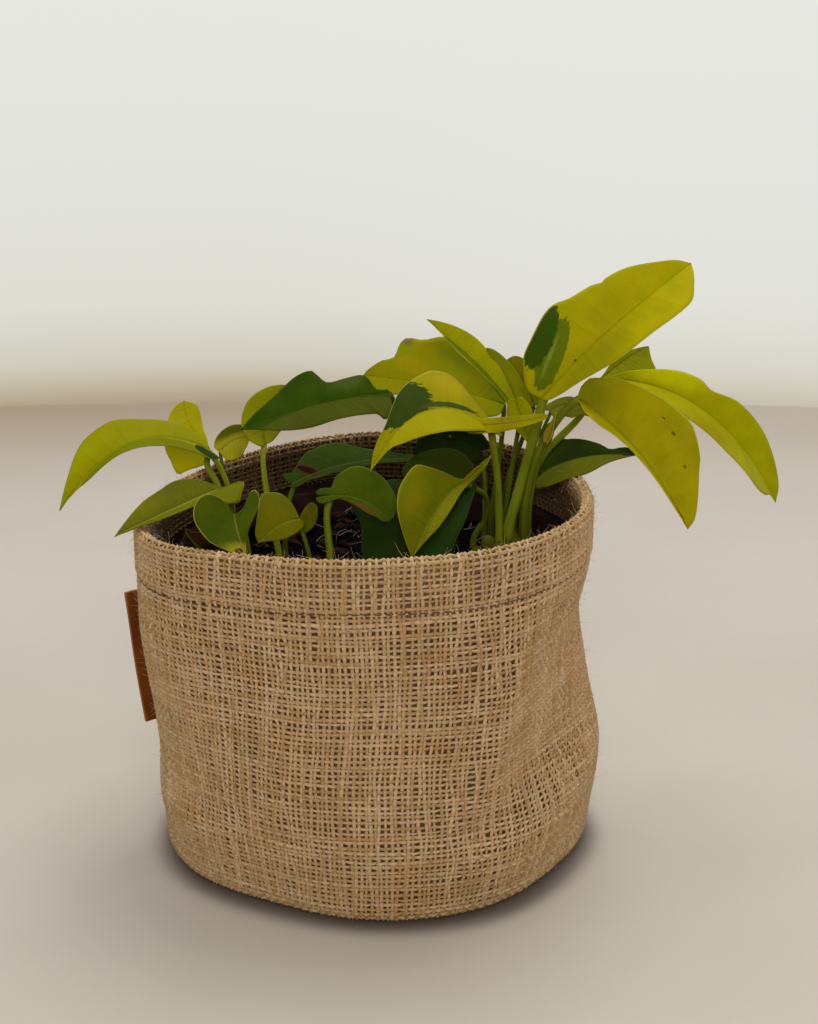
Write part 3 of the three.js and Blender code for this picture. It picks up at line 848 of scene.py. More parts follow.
def makeRoots():
    # each root lies along the soil's face in a bend and arches a little clear of it
    count, steps = soil["roots"], soil["rootSteps"]
    radius = soil["rootSpread"] * np.sqrt(chance.uniform(0, 1, count))
    angle = chance.uniform(0, 2 * np.pi, count)
    spots = np.stack([radius * np.cos(angle), radius * np.sin(angle)], 1)
    heading = chance.uniform(0, 2 * np.pi, count)
    bend = chance.normal(0, soil["rootBend"], count)
    length = chance.uniform(*soil["rootLength"], count)
    paths = np.zeros((count, steps, 3))
    for k in range(steps):
        run = k / (steps - 1)
        turn = heading + bend * run
        reach = length * run
        flat = spots + np.stack([reach * np.cos(turn), reach * np.sin(turn)], 1)
        keep = np.minimum(1, soil["rootEnd"] / np.maximum(np.hypot(flat[:, 0], flat[:, 1]), 1))
        flat = flat * keep[:, None]
        lift = [soilTop(x, y) for x, y in flat]
        arch = chance.uniform(*soil["rootArch"], count) * math.sin(math.pi * run)
        paths[:, k] = np.column_stack([flat, np.array(lift) + soil["rootLift"] + arch])
    facing = np.broadcast_to([0.01, 0.02, 1.0], paths.shape)
    size = chance.uniform(*soil["rootThick"], (count, 1)) * np.ones((1, steps))
    roots = sweepTubes("fine_roots", paths, facing, size, roundSection(4))
    material, tree, shader = newMaterial("fineRoot")
    stain = addMottle(tree, 120.0, 0.5, 0.2)
    body = addMix(tree, stain["Mask"], paint(soil["root"]), paint(soil["rootStain"]))
    plug(tree, shader, {
        "Base Color": body, "Roughness": 0.8,
        "Normal": addBump(tree, stain["Height"], 0.0002)})
    keepPiece(roots, material, "soil")


makeSoilPlug()
makeSoilBits()
makeRoots()
print("soil filled")


# Leather label, a flat tab whose inner half is drawn in to the cloth

label = {
    "tall": 54, "deep": 8, "thick": 1.5, "sink": 0.6, "rounding": 0.35, "bow": 0.5, "warp": 0.35,
    "place": (-90.2, 2, 73), "turn": -60, "lean": 6,
    "tan": "864610", "dark": "5a2c08", "edge": "a2602a",
}


def makeLabel():
    bpy.ops.mesh.primitive_cube_add(size=1)
    tab = bpy.context.object
    tab.name = "leather_tab"
    editAll(tab)
    bpy.ops.transform.resize(
        value=(label["thick"] * mm, label["deep"] * mm, label["tall"] * mm))
    bpy.ops.mesh.subdivide(number_cuts=7)
    bpy.ops.object.mode_set(mode="OBJECT")
    rounding = tab.modifiers.new("rounding", "BEVEL")
    rounding.width = label["rounding"] * mm
    rounding.segments = 3
    rounding.limit_method = "ANGLE"
    bpy.ops.object.modifier_apply(modifier="rounding")
    bow, warp = label["bow"] * mm, label["warp"] * mm
    for vertex in tab.data.vertices:
        up = vertex.co.z / (label["tall"] * mm)
        across = vertex.co.y / (label["deep"] * mm)
        vertex.co.x += bow * (4 * up * up - 1) + warp * math.sin(7 * up + 2 * across)
    turn = Matrix.Rotation(math.radians(-label["lean"]), 4, "Y")
    turn = turn @ Matrix.Rotation(math.radians(label["turn"]), 4, "Z")
    place = Matrix.Translation(Vector(label["place"]) * mm) @ turn
    for vertex in tab.data.vertices:
        sewn = max(0, 2 * vertex.co.y / (label["deep"] * mm))
        spot = place @ vertex.co
        angle = math.atan2(spot.y, spot.x)
        cloth = float(sackRadius(angle / (2 * math.pi), spot.z / mm)) - label["sink"]
        draw = 1 + (cloth * mm / math.hypot(spot.x, spot.y) - 1) * sewn
        vertex.co = (spot.x * draw, spot.y * draw, spot.z)
    tab.data.shade_smooth()
    material, tree, shader = newMaterial("tanLeather")
    pores = {"Vector": objectPlace(tree), "Scale": 1400.0}
    pores = addNode(tree, "TexVoronoi", pores).outputs["Distance"]
    tone = addMottle(tree, 70.0, 0.5, 0.25)
    body = addMix(tree, tone["Mask"], paint(label["dark"]), paint(label["tan"]))
    edge = addNode(tree, "NewGeometry", {}).outputs["Pointiness"]
    body = addMix(tree, addStep(tree, edge, 0.51, 0.56), body, paint(label["edge"]))
    plug(tree, shader, {
        "Base Color": body, "Specular IOR Level": 0.15,
        "Roughness": addMath(tree, "MULTIPLY_ADD", tone["Mask"], 0.15, 0.5),
        "Normal": addBump(tree, pores, 0.0002)})
    keepPiece(tab, material, "label_leather", "leather_label")
    print("label sewn")


makeLabel()


# Leaves. Each has the midrib's base, middle and tip, and its margin on the left and right of
# the way from base to tip: points of (share of the midrib, reach), or the half widths at the
# stalk, at a quarter, at half and at three quarters of the midrib. Half widths come with
# lobes, how far each lobe reaches behind the stalk as a share of the midrib, and blunt, how
# full the tip is. roll lifts the left half, fold lifts both, and stalk goes from the blade
# down to the soil.

plantPieces = [
    {
        "name": "upper_right", "roll": 50, "fold": 20, "stalkRadius": 2.3,
        "base": (64, 22, 171), "middle": (89, 20, 198), "tip": (121, 34, 221),
        "left": [(-0.02, 6), (0.04, 12), (0.1, 16.5), (0.21, 19.5), (0.32, 22), (0.39, 22),
                 (0.46, 19.8), (0.58, 18), (0.62, 16.2), (0.66, 16.3), (0.75, 14.2), (0.85, 9.8),
                 (0.95, 4.8)],
        "right": [(0.02, 2.8), (0.1, 5.5), (0.22, 8.2), (0.44, 13), (0.66, 14.8), (0.78, 15),
                  (0.86, 14), (0.92, 9.2), (0.96, 5.2)],
        "stalk": [(61, 21, 155), (56, 20, 135), (52, 19, 119)],
    },
    {
        "name": "right_drooping", "roll": 35, "fold": 35, "stalkRadius": 1.8,
        "base": (77, 14, 173), "middle": (99, 5, 155), "tip": (118, -6, 127),
        "left": [(-0.02, 4), (0, 8.8), (0.05, 11.2), (0.12, 15), (0.26, 18.5), (0.4, 21.5),
                 (0.5, 22.5), (0.58, 23.2), (0.72, 18.8), (0.78, 15.2), (0.96, 5)],
        "right": [(0.1, 7), (0.23, 8.8), (0.35, 5.5), (0.46, 3.5), (0.6, 3), (0.74, 2.4), (0.9, 1)],
        "stalk": [(71, 20, 164), (64, 24, 150), (59, 25, 129)],
    },
    {
        "name": "far_right", "roll": 45, "fold": 25, "stalkRadius": 1.6,
        "base": (91, 42, 174), "middle": (132, 50, 159), "tip": (164, 56, 119),
        "left": [(0.08, 3.2), (0.19, 6.2), (0.32, 9.8), (0.42, 10.5), (0.49, 8.8), (0.62, 13),
                 (0.78, 13), (0.94, 6)],
        "right": [(0.1, 5), (0.24, 9.2), (0.37, 14), (0.52, 15.5), (0.64, 17.8), (0.77, 17.8),
                  (0.85, 17), (0.91, 11.8), (0.95, 4)],
        "stalk": [(80, 38, 159), (67, 36, 145), (60, 35, 128)],
    },
    {
        "name": "right_rear", "roll": 30, "fold": 5, "stalkRadius": 1.3,
        "base": (86, 54, 167), "middle": (98, 60, 176), "tip": (110, 62, 183),
        "left": [(0.22, 0.8), (0.41, 2.4), (0.67, 3.3), (0.87, 1.5)],
        "right": [(0.3, 10), (0.6, 14), (0.89, 13.2), (0.94, 6.6)],
        "stalk": [(72, 47, 156), (62, 42, 148), (56, 40, 130)],
    },
    {
        "name": "variegated", "roll": -40, "fold": 5, "stalkRadius": 1.7,
        "base": (45, 10, 163), "middle": (19, -8, 173), "tip": (-1, -26, 155),
        "left": [(-0.05, 3), (0.06, 6), (0.26, 10.5), (0.51, 10.5), (0.74, 6), (0.84, 2.4),
                 (0.93, 1)],
        "right": [(0.05, 5), (0.1, 7.5), (0.17, 14.5), (0.22, 18.5), (0.31, 18.8), (0.39, 16.5),
                  (0.46, 14.5), (0.55, 12), (0.68, 7), (0.77, 4.4), (0.88, 3)],
        "stalk": [(47, 12, 141), (48, 14, 122)],
    },
    {
        "name": "pointed", "roll": -40, "fold": 20, "stalkRadius": 1.4,
        "base": (57, 28, 162), "middle": (40, 32, 181), "tip": (20, 36, 199),
        "left": [(0.06, 4), (0.18, 1.8), (0.29, 1.4), (0.46, 2), (0.66, 2.6), (0.84, 1)],
        "right": [(0.1, 1.8), (0.24, 3.8), (0.42, 6.8), (0.58, 8), (0.7, 7.5), (0.82, 5.5),
                  (0.92, 2.8)],
        "stalk": [(54, 26, 147), (51, 25, 124)],
    },
    {
        "name": "wavy_back", "roll": -50, "fold": 5, "stalkRadius": 1.6,
        "base": (51, 44, 163), "middle": (25, 46, 170), "tip": (-5, 40, 176),
        "left": [(0.02, 6), (0.24, 9), (0.56, 8), (0.77, 7), (0.87, 8.2), (0.96, 4.2)],
        "right": [(0, 10), (0.12, 14.5), (0.35, 22), (0.49, 23), (0.62, 19.2), (0.66, 18.8),
                  (0.73, 19.2), (0.77, 16.5), (0.81, 9.5), (0.89, 7), (0.98, 2)],
        "stalk": [(50, 42, 150), (48, 38, 135), (46, 35, 120)],
    },
    {
        "name": "olive_back", "roll": -30, "fold": 5, "stalkRadius": 1.4,
        "base": (63, 49, 161), "middle": (59, 56, 170), "tip": (53, 61, 178),
        "left": [(0.03, 5.1), (0.3, 7), (0.6, 7), (0.85, 5.5), (0.97, 3.5)],
        "right": [(0.1, 5), (0.4, 6), (0.6, 6), (0.85, 5), (0.97, 3)],
        "stalk": [(58, 44, 148), (52, 40, 130)],
    },
    {
        "name": "dark_left", "roll": -40, "fold": 8, "stalkRadius": 1.5,
        "base": (6, 6, 177), "middle": (-23, 10, 171), "tip": (-51, 12, 161),
        "left": [(-0.02, 8.8), (0.02, 13), (0.07, 10), (0.14, 9.5), (0.34, 10), (0.54, 10.2),
                 (0.73, 8.2), (0.9, 3)],
        "right": [(0.02, 1.5), (0.09, 2), (0.16, 8.6), (0.28, 9.2), (0.4, 9.2), (0.46, 13.5),
                  (0.5, 16.3), (0.6, 15), (0.74, 9.8), (0.9, 4)],
        "stalk": [(9, 16, 165), (13, 24, 150), (15, 26, 124)],
    },
    {
        "name": "round_left", "roll": 40, "fold": 10, "stalkRadius": 1.3,
        "base": (-43, 22, 153), "middle": (-42, 32, 162), "tip": (-32, 40, 171),
        "left": [(-0.06, 1.5), (0.03, 6), (0.15, 8.4), (0.29, 9.5), (0.48, 9.9), (0.64, 8.8),
                 (0.8, 6.6), (0.92, 3.5)],
        "right": [(0, 2), (0.08, 4.5), (0.3, 7), (0.6, 8), (0.85, 5)],
        "stalk": [(-43, 14, 146), (-40, 2, 132), (-36, -10, 119)],
    },
    {
        "name": "far_left", "roll": -30, "fold": 5, "stalkRadius": 1.4,
        "base": (-64, 20, 151), "middle": (-92, 4, 158), "tip": (-117, -12, 136),
        "left": [(-0.05, 3), (0.02, 6.6), (0.15, 6), (0.24, 5.5), (0.38, 5.1), (0.51, 3.8),
                 (0.63, 2.6), (0.81, 2.4), (0.89, 1)],
        "right": [(0.01, 2.4), (0.04, 3.8), (0.09, 7), (0.15, 8.6), (0.23, 8.8), (0.35, 9.9),
                  (0.43, 12.1), (0.51, 14), (0.6, 13.2), (0.69, 11.9), (0.77, 9.3), (0.84, 6.4)],
        "stalk": [(-65, 18, 145), (-61, 15, 138), (-57, 12, 126)],
    },
    {
        "name": "back_left", "roll": -60, "fold": 5, "stalkRadius": 1.3,
        "base": (-66, 41, 143), "middle": (-74, 45, 153), "tip": (-77, 47, 164),
        "left": [(-0.03, 4), (0.07, 10.8), (0.12, 15.2), (0.29, 13.9), (0.43, 13.2), (0.73, 7.9),
                 (0.85, 5.5), (0.95, 2.6)],
        "right": [(0.08, 1), (0.24, 3.3), (0.43, 4.4), (0.67, 5.6), (0.86, 5.6), (0.95, 4)],
        "stalk": [(-62, 40, 137), (-58, 36, 126)],
    },
    {
        "name": "small_back", "roll": 70, "fold": 5, "stalkRadius": 1.1,
        "base": (-63.3, 46, 143), "middle": (-57, 46, 148), "tip": (-50.5, 44, 149.5),
        "left": [(0, 3), (0.2, 5.6), (0.6, 6), (0.9, 4)],
        "right": [(0, 5), (0.2, 7), (0.6, 7), (0.9, 4)],
        "stalk": [(-62, 44, 137), (-59, 40, 126)],
    },
    {
        "name": "rim_left", "roll": -30, "fold": 5, "stalkRadius": 1.2,
        "base": (-57, -12, 145), "middle": (-74, -28, 141), "tip": (-91, -46, 137),
        "left": [(-0.19, 1), (-0.2, 3), (-0.13, 5.7), (-0.02, 9.5), (0.1, 6), (0.23, 3.5),
                 (0.36, 3), (0.56, 2.3), (0.73, 1.2), (0.85, 0.7)],
        "right": [(0.01, 1), (0.03, 2.4), (0.08, 5.7), (0.16, 8.8), (0.28, 11), (0.43, 10.1),
                  (0.57, 8.8), (0.71, 6.4), (0.85, 3.5)],
        "stalk": [(-54, -13, 141), (-51, -14, 130)],
    },
    {
        "name": "front_hanging", "roll": -45, "fold": 20, "stalkRadius": 1.6,
        "base": (34, -10, 147), "middle": (24, -26, 142), "tip": (14, -46, 129),
        "left": [(-0.09, 0.9), (0.19, 2.9), (0.5, 4.2), (0.68, 4), (0.84, 2)],
        "right": [(0.04, 1.5), (0.11, 2.6), (0.22, 6.8), (0.33, 12.6), (0.41, 17.4), (0.51, 18.1),
                  (0.64, 17.9), (0.72, 17), (0.82, 13.9), (0.9, 8.4), (0.95, 4.4)],
        "stalk": [(42, 0, 138), (42, 6, 127), (38, 9, 119)],
    },
    {
        "name": "small_front_left", "roll": 0, "fold": 10, "stalkRadius": 1.1,
        "base": (-48, -52, 147), "middle": (-46, -57, 141), "tip": (-43, -62, 135),
        "left": [(-0.1, 3.5), (-0.31, 6.2), (-0.48, 6.8), (-0.57, 8.5), (-0.52, 9.8), (-0.31, 10),
                 (-0.05, 8.4), (0.24, 5.7), (0.48, 3.4), (0.76, 1.3)],
        "right": [(-0.05, 0.8), (-0.29, 2.8), (-0.43, 5.8), (-0.48, 9), (-0.38, 12.3),
                  (-0.17, 14.4), (0.07, 15), (0.31, 14), (0.57, 11.7), (0.74, 8), (0.88, 4.2)],
        "stalk": [(-46, -40, 139), (-44, -42, 127)],
    },
    {
        "name": "olive_heart", "roll": -45, "fold": 5, "stalkRadius": 1.2,
        "base": (-27, -22, 136), "middle": (-34, -30, 136), "tip": (-41, -38, 132),
        "left": [(-0.05, 1.5), (-0.01, 3.1), (0.18, 4.9), (0.46, 5.7), (0.69, 4.6), (0.9, 1.6)],
        "right": [(0.01, 5.3), (0.06, 8.8), (0.14, 11.9), (0.27, 13.2), (0.4, 13.7), (0.6, 9.5),
                  (0.8, 5.5), (0.93, 3)],
        "stalk": [(-25, -24, 128), (-23, -25, 119)],
    },
    {
        "name": "round_centre", "roll": 45, "fold": 5, "stalkRadius": 1.4,
        "base": (-16, -22, 145), "middle": (-4, -28, 145), "tip": (6, -34, 139),
        "left": [(-0.2, 1), (-0.18, 3), (-0.08, 3.4), (0, 3), (0.02, 7.7), (0.09, 9.9),
                 (0.19, 12.1), (0.29, 12.8), (0.41, 12.4), (0.56, 11.5), (0.71, 9.7), (0.85, 7.5),
                 (0.93, 5.7), (0.99, 2.6)],
        "right": [(-0.18, 0.5), (-0.15, 2.4), (-0.06, 3.5), (0.08, 2), (0.17, 1.5), (0.39, 2.6),
                  (0.67, 3.5), (0.84, 2.4), (0.95, 2)],
        "stalk": [(-17, -22, 137), (-16, -22, 122)],
    },
    {
        "name": "torn_dark", "roll": 20, "fold": 5, "stalkRadius": 1.4,
        "base": (-31, 4, 142), "middle": (-7, 13, 148), "tip": (22, 16, 148),
        "left": [(-0.02, 3.5), (0, 8.2), (0.03, 6), (0.1, 8), (0.16, 11.5), (0.22, 14.1),
                 (0.31, 15), (0.39, 14.8), (0.47, 12.4), (0.55, 8.5), (0.75, 4), (0.9, 2)],
        "right": [(-0.04, 0.7), (0.01, 3.1), (0.1, 2.5), (0.18, 3.8), (0.32, 3.5), (0.4, 4.2),
                  (0.55, 3.5), (0.75, 3), (0.9, 1.5)],
        "stalk": [(-33, 2, 133), (-34, -2, 121)],
    },
    {
        "name": "dark_right", "roll": 35, "fold": 5, "stalkRadius": 1.2,
        "base": (66, 29, 140), "middle": (81, 17, 149), "tip": (101, 6, 153),
        "left": [(-0.02, 6), (0.09, 14.6), (0.22, 13), (0.37, 10.4), (0.61, 5.7), (0.72, 2.6),
                 (0.85, 3.2), (0.95, 1.5)],
        "right": [(-0.1, 6), (0.08, 11.2), (0.39, 10.4), (0.6, 9.5), (0.76, 4.6), (0.88, 2)],
        "stalk": [(62, 30, 132), (59, 30, 122)],
    },
    {
        "name": "dark_rear", "roll": -50, "fold": 5, "stalkRadius": 1.3, "lobes": (0.1, 0.1),
        "blunt": 0.4,
        "base": (41, 38, 146), "middle": (28, 37, 150), "tip": (15, 34, 146),
        "left": (6, 10, 10, 6), "right": (6, 10, 10, 6),
        "stalk": [(43, 34, 136), (43, 30, 122)],
    },
    {
        "name": "dark_centre", "roll": 40, "fold": 5, "stalkRadius": 1.4, "lobes": (0.1, 0.1),
        "blunt": 0.45,
        "base": (13, 4, 151), "middle": (25, 2, 150), "tip": (37, 4, 139),
        "right": (8, 10, 8, 6),
        "left": [(0.08, 1.5), (0.24, 4), (0.44, 7.3), (0.63, 9.7), (0.77, 9.9), (0.9, 9),
                 (0.98, 4.9)],
        "stalk": [(17, 5, 139), (21, 6, 124)],
    },
    {
        "name": "dark_hanging", "roll": 0, "fold": 5, "stalkRadius": 1.4,
        "base": (17, -10, 143), "middle": (14, -28, 135), "tip": (12, -50, 119),
        "left": [(-0.2, 10), (-0.25, 19.6), (-0.09, 20.3), (0.2, 20.3), (0.43, 19.2), (0.59, 17),
                 (0.77, 14.6), (0.95, 8)],
        "right": [(-0.2, 8), (-0.1, 16), (0.1, 22), (0.28, 24), (0.42, 20.5), (0.55, 18.1),
                  (0.81, 16), (0.95, 8)],
        "stalk": [(22, -5, 136), (27, 1, 124)],
    },
    {
        "name": "rear_lobe", "roll": 30, "fold": 5, "stalkRadius": 1.1, "lobes": (0.06, 0.06),
        "blunt": 0.3,
        "base": (68, 27, 165), "middle": (78, 31, 166), "tip": (87, 30, 160),
        "left": (3, 4, 4, 3), "right": (5, 7, 6, 4),
        "stalk": [(65, 29, 155), (62, 31, 140), (56, 32, 122)],
    },
    {
        "name": "young_pale", "roll": 60, "fold": 30, "stalkRadius": 0.9, "lobes": (0.06, 0.06),
        "blunt": 0.3,
        "base": (66, 16, 155), "middle": (68, 15, 161), "tip": (69, 14, 168),
        "left": (2, 3, 2, 1), "right": (2, 3, 2, 1),
        "stalk": [(63, 15, 146), (60, 13, 130)],
    },
    {
        "name": "withered", "roll": 20, "fold": 30, "stalkRadius": 0.8, "lobes": (0.1, 0.1),
        "blunt": 0.4,
        "base": (-62, -34, 129), "middle": (-65, -38, 134), "tip": (-67, -40, 138),
        "left": (3, 5, 4, 2), "right": (3, 5, 4, 2),
        "stalk": [(-59, -31, 124)],
    },
]

# Lobes that curl away beside a stalk, each with the colours of the leaf it belongs to
lobePieces = [
    {
        "name": "lobe_variegated", "like": "variegated", "roll": 60, "fold": 5,
        "base": (35, 4, 164.5), "middle": (51, 4, 165.5), "tip": (65.5, 8, 167.5),
        "left": [(0, 2.6), (0.2, 3), (0.5, 2.6), (0.8, 2), (0.95, 1.2)],
        "right": [(0, 2.6), (0.2, 3), (0.5, 2.4), (0.8, 1.6), (0.95, 1)],
    },
    {
        "name": "lobe_pointed", "like": "pointed", "roll": 80, "fold": 5, "lobes": (0.04, 0.04),
        "blunt": 0.4,
        "base": (54, 23, 170), "middle": (57, 22, 161), "tip": (60.5, 21, 152),
        "left": (3, 5, 4, 2), "right": (3, 5, 4, 2),
    },
    {
        "name": "fold_pointed", "like": "right_rear", "roll": -70, "fold": 5, "lobes": (0.04, 0.04),
        "blunt": 0.5,
        "base": (57, 32, 161), "middle": (51, 34, 175), "tip": (43, 35, 188),
        "left": (1, 1, 1, 1), "right": (3, 5, 5.5, 4),
    },
    {
        "name": "lobe_olive_heart", "like": "olive_heart", "roll": 80, "fold": 5,
        "lobes": (0.1, 0.1), "blunt": 0.6,
        "base": (-26, -21, 132), "middle": (-23.5, -21, 137), "tip": (-22, -21, 142),
        "left": (2, 3, 3, 2.4), "right": (2, 3, 3, 2.4),
    },
    {
        "name": "wing_front_hanging", "like": "front_hanging", "roll": 60, "fold": 5,
        "lobes": (0.04, 0.04), "blunt": 0.4,
        "base": (33, -10, 146), "middle": (39, -7, 150.5), "tip": (44, -2, 155),
        "left": (1, 1.5, 1.3, 0.8), "right": (1, 1.5, 1.3, 0.8),
    },
]

blade = {
    "thick": 0.36, "cell": 1.7, "fewestRows": 24, "columns": 10, "edgeDroop": 0.1, "veins": 60,
    "quilt": 0.16, "groove": 0.3, "grooveWide": 0.09, "speck": "5a4a12",
}

# How each leaf looks: its main and clouded colours, the midrib's and the margin's, and the
# margin's wave as (depth, count). The margin's pale line is painted light showing through
# the thin edge
leafLooks = {
    "upper_right": ("b6a804", "a6a002", "9a9004", "c2b840", (0.7, 2.5)),
    "right_drooping": ("a89b02", "988f04", "928204", "b9ae3c", (0.5, 2)),
    "far_right": ("a8a302", "9c9a02", "8c8404", "b0ae3c", (0.6, 2)),
    "right_rear": ("8c8e04", "808206", "7c7a08", "96922c", (0.5, 2)),
    "variegated": ("9a8e06", "8c8808", "968c14", "b4ac4c", (0.5, 2)),
    "pointed": ("a09c02", "909204", "808606", "b6b240", (0.3, 2)),
    "wavy_back": ("868a02", "908602", "808004", "8e8a28", (1.2, 2.5)),
    "olive_back": ("7c7604", "707008", "6a6806", "7d7630", (0.4, 2)),
    "dark_left": ("384e06", "2c4404", "3a4e0c", "56621a", (0.6, 2.5)),
    "round_left": ("8c8604", "7c8006", "747206", "908a28", (0.4, 2)),
    "far_left": ("8a8c02", "948c02", "787a04", "9c9c2c", (0.5, 2)),
    "back_left": ("c0b80c", "bab418", "bcb610", "beb840", (0.5, 2)),
    "small_back": ("b4ac24", "a8a01c", "a09a28", "7c7c20", (0.4, 2)),
    "rim_left": ("606204", "565a04", "90902c", "8a8a24", (0.4, 2)),
    "front_hanging": ("6a6c04", "5e6404", "7f7a10", "968c20", (0.6, 2)),
    "small_front_left": ("485404", "3a4a04", "7e7c34", "a29a44", (0.5, 2)),
    "olive_heart": ("6a6402", "5e5e02", "74721e", "848028", (0.4, 2)),
    "round_centre": ("485606", "3c4c04", "526020", "707428", (0.4, 2)),
    "torn_dark": ("344806", "2a3e04", "56662e", "5e682a", (0.5, 2)),
    "dark_right": ("2c3e04", "243804", "465018", "4c5818", (0.4, 2)),
    "dark_rear": ("1e2e04", "182604", "263408", "344014", (0.4, 2)),
    "dark_centre": ("2c3a06", "343e0a", "323c0e", "3e4418", (0.4, 2)),
    "dark_hanging": ("1e3202", "182a02", "243606", "324016", (0.5, 2)),
    "rear_lobe": ("6c7006", "606606", "686614", "848228", (0.3, 2)),
    "young_pale": ("a08c24", "908018", "a0902c", "a49640", (0.1, 2)),
    "withered": ("5a3e0a", "382408", "5e4418", "5c4218", (0.8, 2)),
}

# Patches of another colour, each (across, along, half width, half length, turn, colour,
# jagged edge, soft edge), in millimetres from the stalk with across positive on the left
# half. The soft edge may be left out.
leafPatches = {
    "upper_right": [
        (-7, 22, 9, 34, -8, "96900a", 0.2, 0.7), (8, 44, 9, 16, 0, "a89c04", 0.2, 0.8),
        (8.6, 15.5, 5, 15, -24, "68780c", 0.5), (8.4, 14, 1.1, 12, -22, "80902a", 0.4, 0.6),
        (16.5, 17.5, 5.5, 13, -23, "3c560c", 0.6), (0.3, 20.7, 0.7, 0.7, 0, "4a3a10", 0.1),
    ],
    "right_drooping": [
        (4, 4, 14, 16, 0, "807e06", 0.3, 0.9), (-3, 40, 4, 40, 0, "b0a80a", 0.3, 0.8),
        (15, 36, 0.6, 1.0, 0, "6a5a14", 0.6), (11, 47, 0.5, 0.8, 0, "6a5a14", 0.6),
        (16, 30, 0.4, 0.6, 0, "6a5a14", 0.6),
    ],
    "far_right": [(8, 22, 9, 26, 0, "bebc06", 0.2, 0.6), (-12, 50, 10, 18, 0, "9a8e04", 0.2, 0.9)],
    "variegated": [
        (-12, 14, 10, 9, 20, "a8960c", 0.2, 0.8), (-8, 36, 9.5, 12.5, 14, "364610", 0.7),
        (-1.8, 18, 1.2, 12, 2, "42501a", 0.7), (11, 32, 11.4, 36, 0, "a29806", 0.25),
    ],
    "pointed": [(0.8, 24, 1.6, 20, 0, "64720c", 0.3), (-5, 8, 6, 14, 0, "848406", 0.2, 0.9)],
    "wavy_back": [
        (-18, 42, 3.2, 2.2, 0, "7c6c30", 0.4, 0.5), (-7, 40, 5, 8, 10, "9a8c04", 0.9, 0.5),
        (-16, 18, 9, 20, 0, "747e04", 0.2, 0.9),
    ],
    "dark_left": [(-7, 16, 5, 9, 0, "4a581e", 0.6, 0.7), (8.2, 24, 8.2, 32, 0, "4a5210", 0.15)],
    "far_left": [
        (5.2, 34, 5, 34, 0, "767a02", 0.2), (-8, 52, 7, 22, 0, "9a9c02", 0.2, 0.9),
        (3.6, 1, 2.6, 5.5, 14, "26400c", 0.3),
    ],
    "small_back": [(5, 9, 4, 12, 0, "5e6410", 0.3, 0.6)],
    "rim_left": [(4.4, 20, 4.4, 40, 0, "6c6e04", 0.2), (-6, 34, 6, 16, 0, "6e6c02", 0.2, 0.9)],
    "front_hanging": [
        (4.9, 16, 4.6, 30, 0, "767408", 0.2), (-11, 30, 8, 12, 0, "7a7204", 0.2, 0.9),
    ],
    "small_front_left": [
        (-2, 16, 11, 6.4, 6, "94881a", 0.6, 0.6), (-2, 14, 1.6, 1, 0, "4a3010", 0.8),
    ],
    "round_centre": [(-2.4, 15, 1.1, 7, 0, "5a4410", 0.9)],
    "torn_dark": [(3.6, 8.2, 2.6, 6.2, 66, "4e2c0c", 0.7), (3.6, 8.2, 1.5, 4.6, 66, "220e06", 0.9)],
    "dark_right": [(-6, 22, 6, 30, 0, "6c7010", 0.2)],
    "dark_rear": [(-2, 11.8, 0.6, 0.6, 0, "7a5a10", 0.5)],
}


def makeLeafSkin():
    # midrib line, faint side veins, margin and height of a blade. Rows runs 0 to 1 across
    # and along, Flat counts in centimetres from the stalk.
    outputs = {
        "Midrib": "Float", "Veins": "Float", "Margin": "Float", "Speckle": "Float", "Height": "Float"}
    tree, entry, result = openGroup(
        "leafSkin", {"Rows": "Vector", "Flat": "Vector", "Count": "Float"}, outputs)
    rows = partsOf(tree, entry["Rows"])
    across = addMath(tree, "ABSOLUTE", addMath(tree, "MULTIPLY_ADD", rows["X"], 2.0, -1.0))
    away = addMath(tree, "ABSOLUTE", partsOf(tree, entry["Flat"])["X"])
    wide = addMath(tree, "MULTIPLY_ADD", rows["Y"], -0.035, 0.055)
    midrib = addStep(tree, addMath(tree, "DIVIDE", away, wide), 1.2, 0.6)
    wave = addMath(tree, "COSINE", addMath(tree, "MULTIPLY", rows["Y"], entry["Count"]))
    fade = addMath(tree, "SUBTRACT", 1.0, addStep(tree, across, 0.45, 0.95))
    veins = addMath(tree, "MULTIPLY", addStep(tree, wave, 0.55, 1.0), fade)
    margin = addStep(tree, across, 0.965, 0.99)
    fine = addNoise(tree, entry["Flat"], 24.0, 6.0)
    speckle = addStep(tree, fine, 0.32, 0.68)
    height = addMath(tree, "MULTIPLY_ADD", veins, -0.25, addMath(tree, "MULTIPLY", fine, 0.4))
    height = addMath(tree, "MULTIPLY_ADD", midrib, -0.5, height)
    plug(tree, result, {
        "Midrib": midrib, "Veins": veins, "Margin": margin, "Speckle": speckle, "Height": height})
    return tree


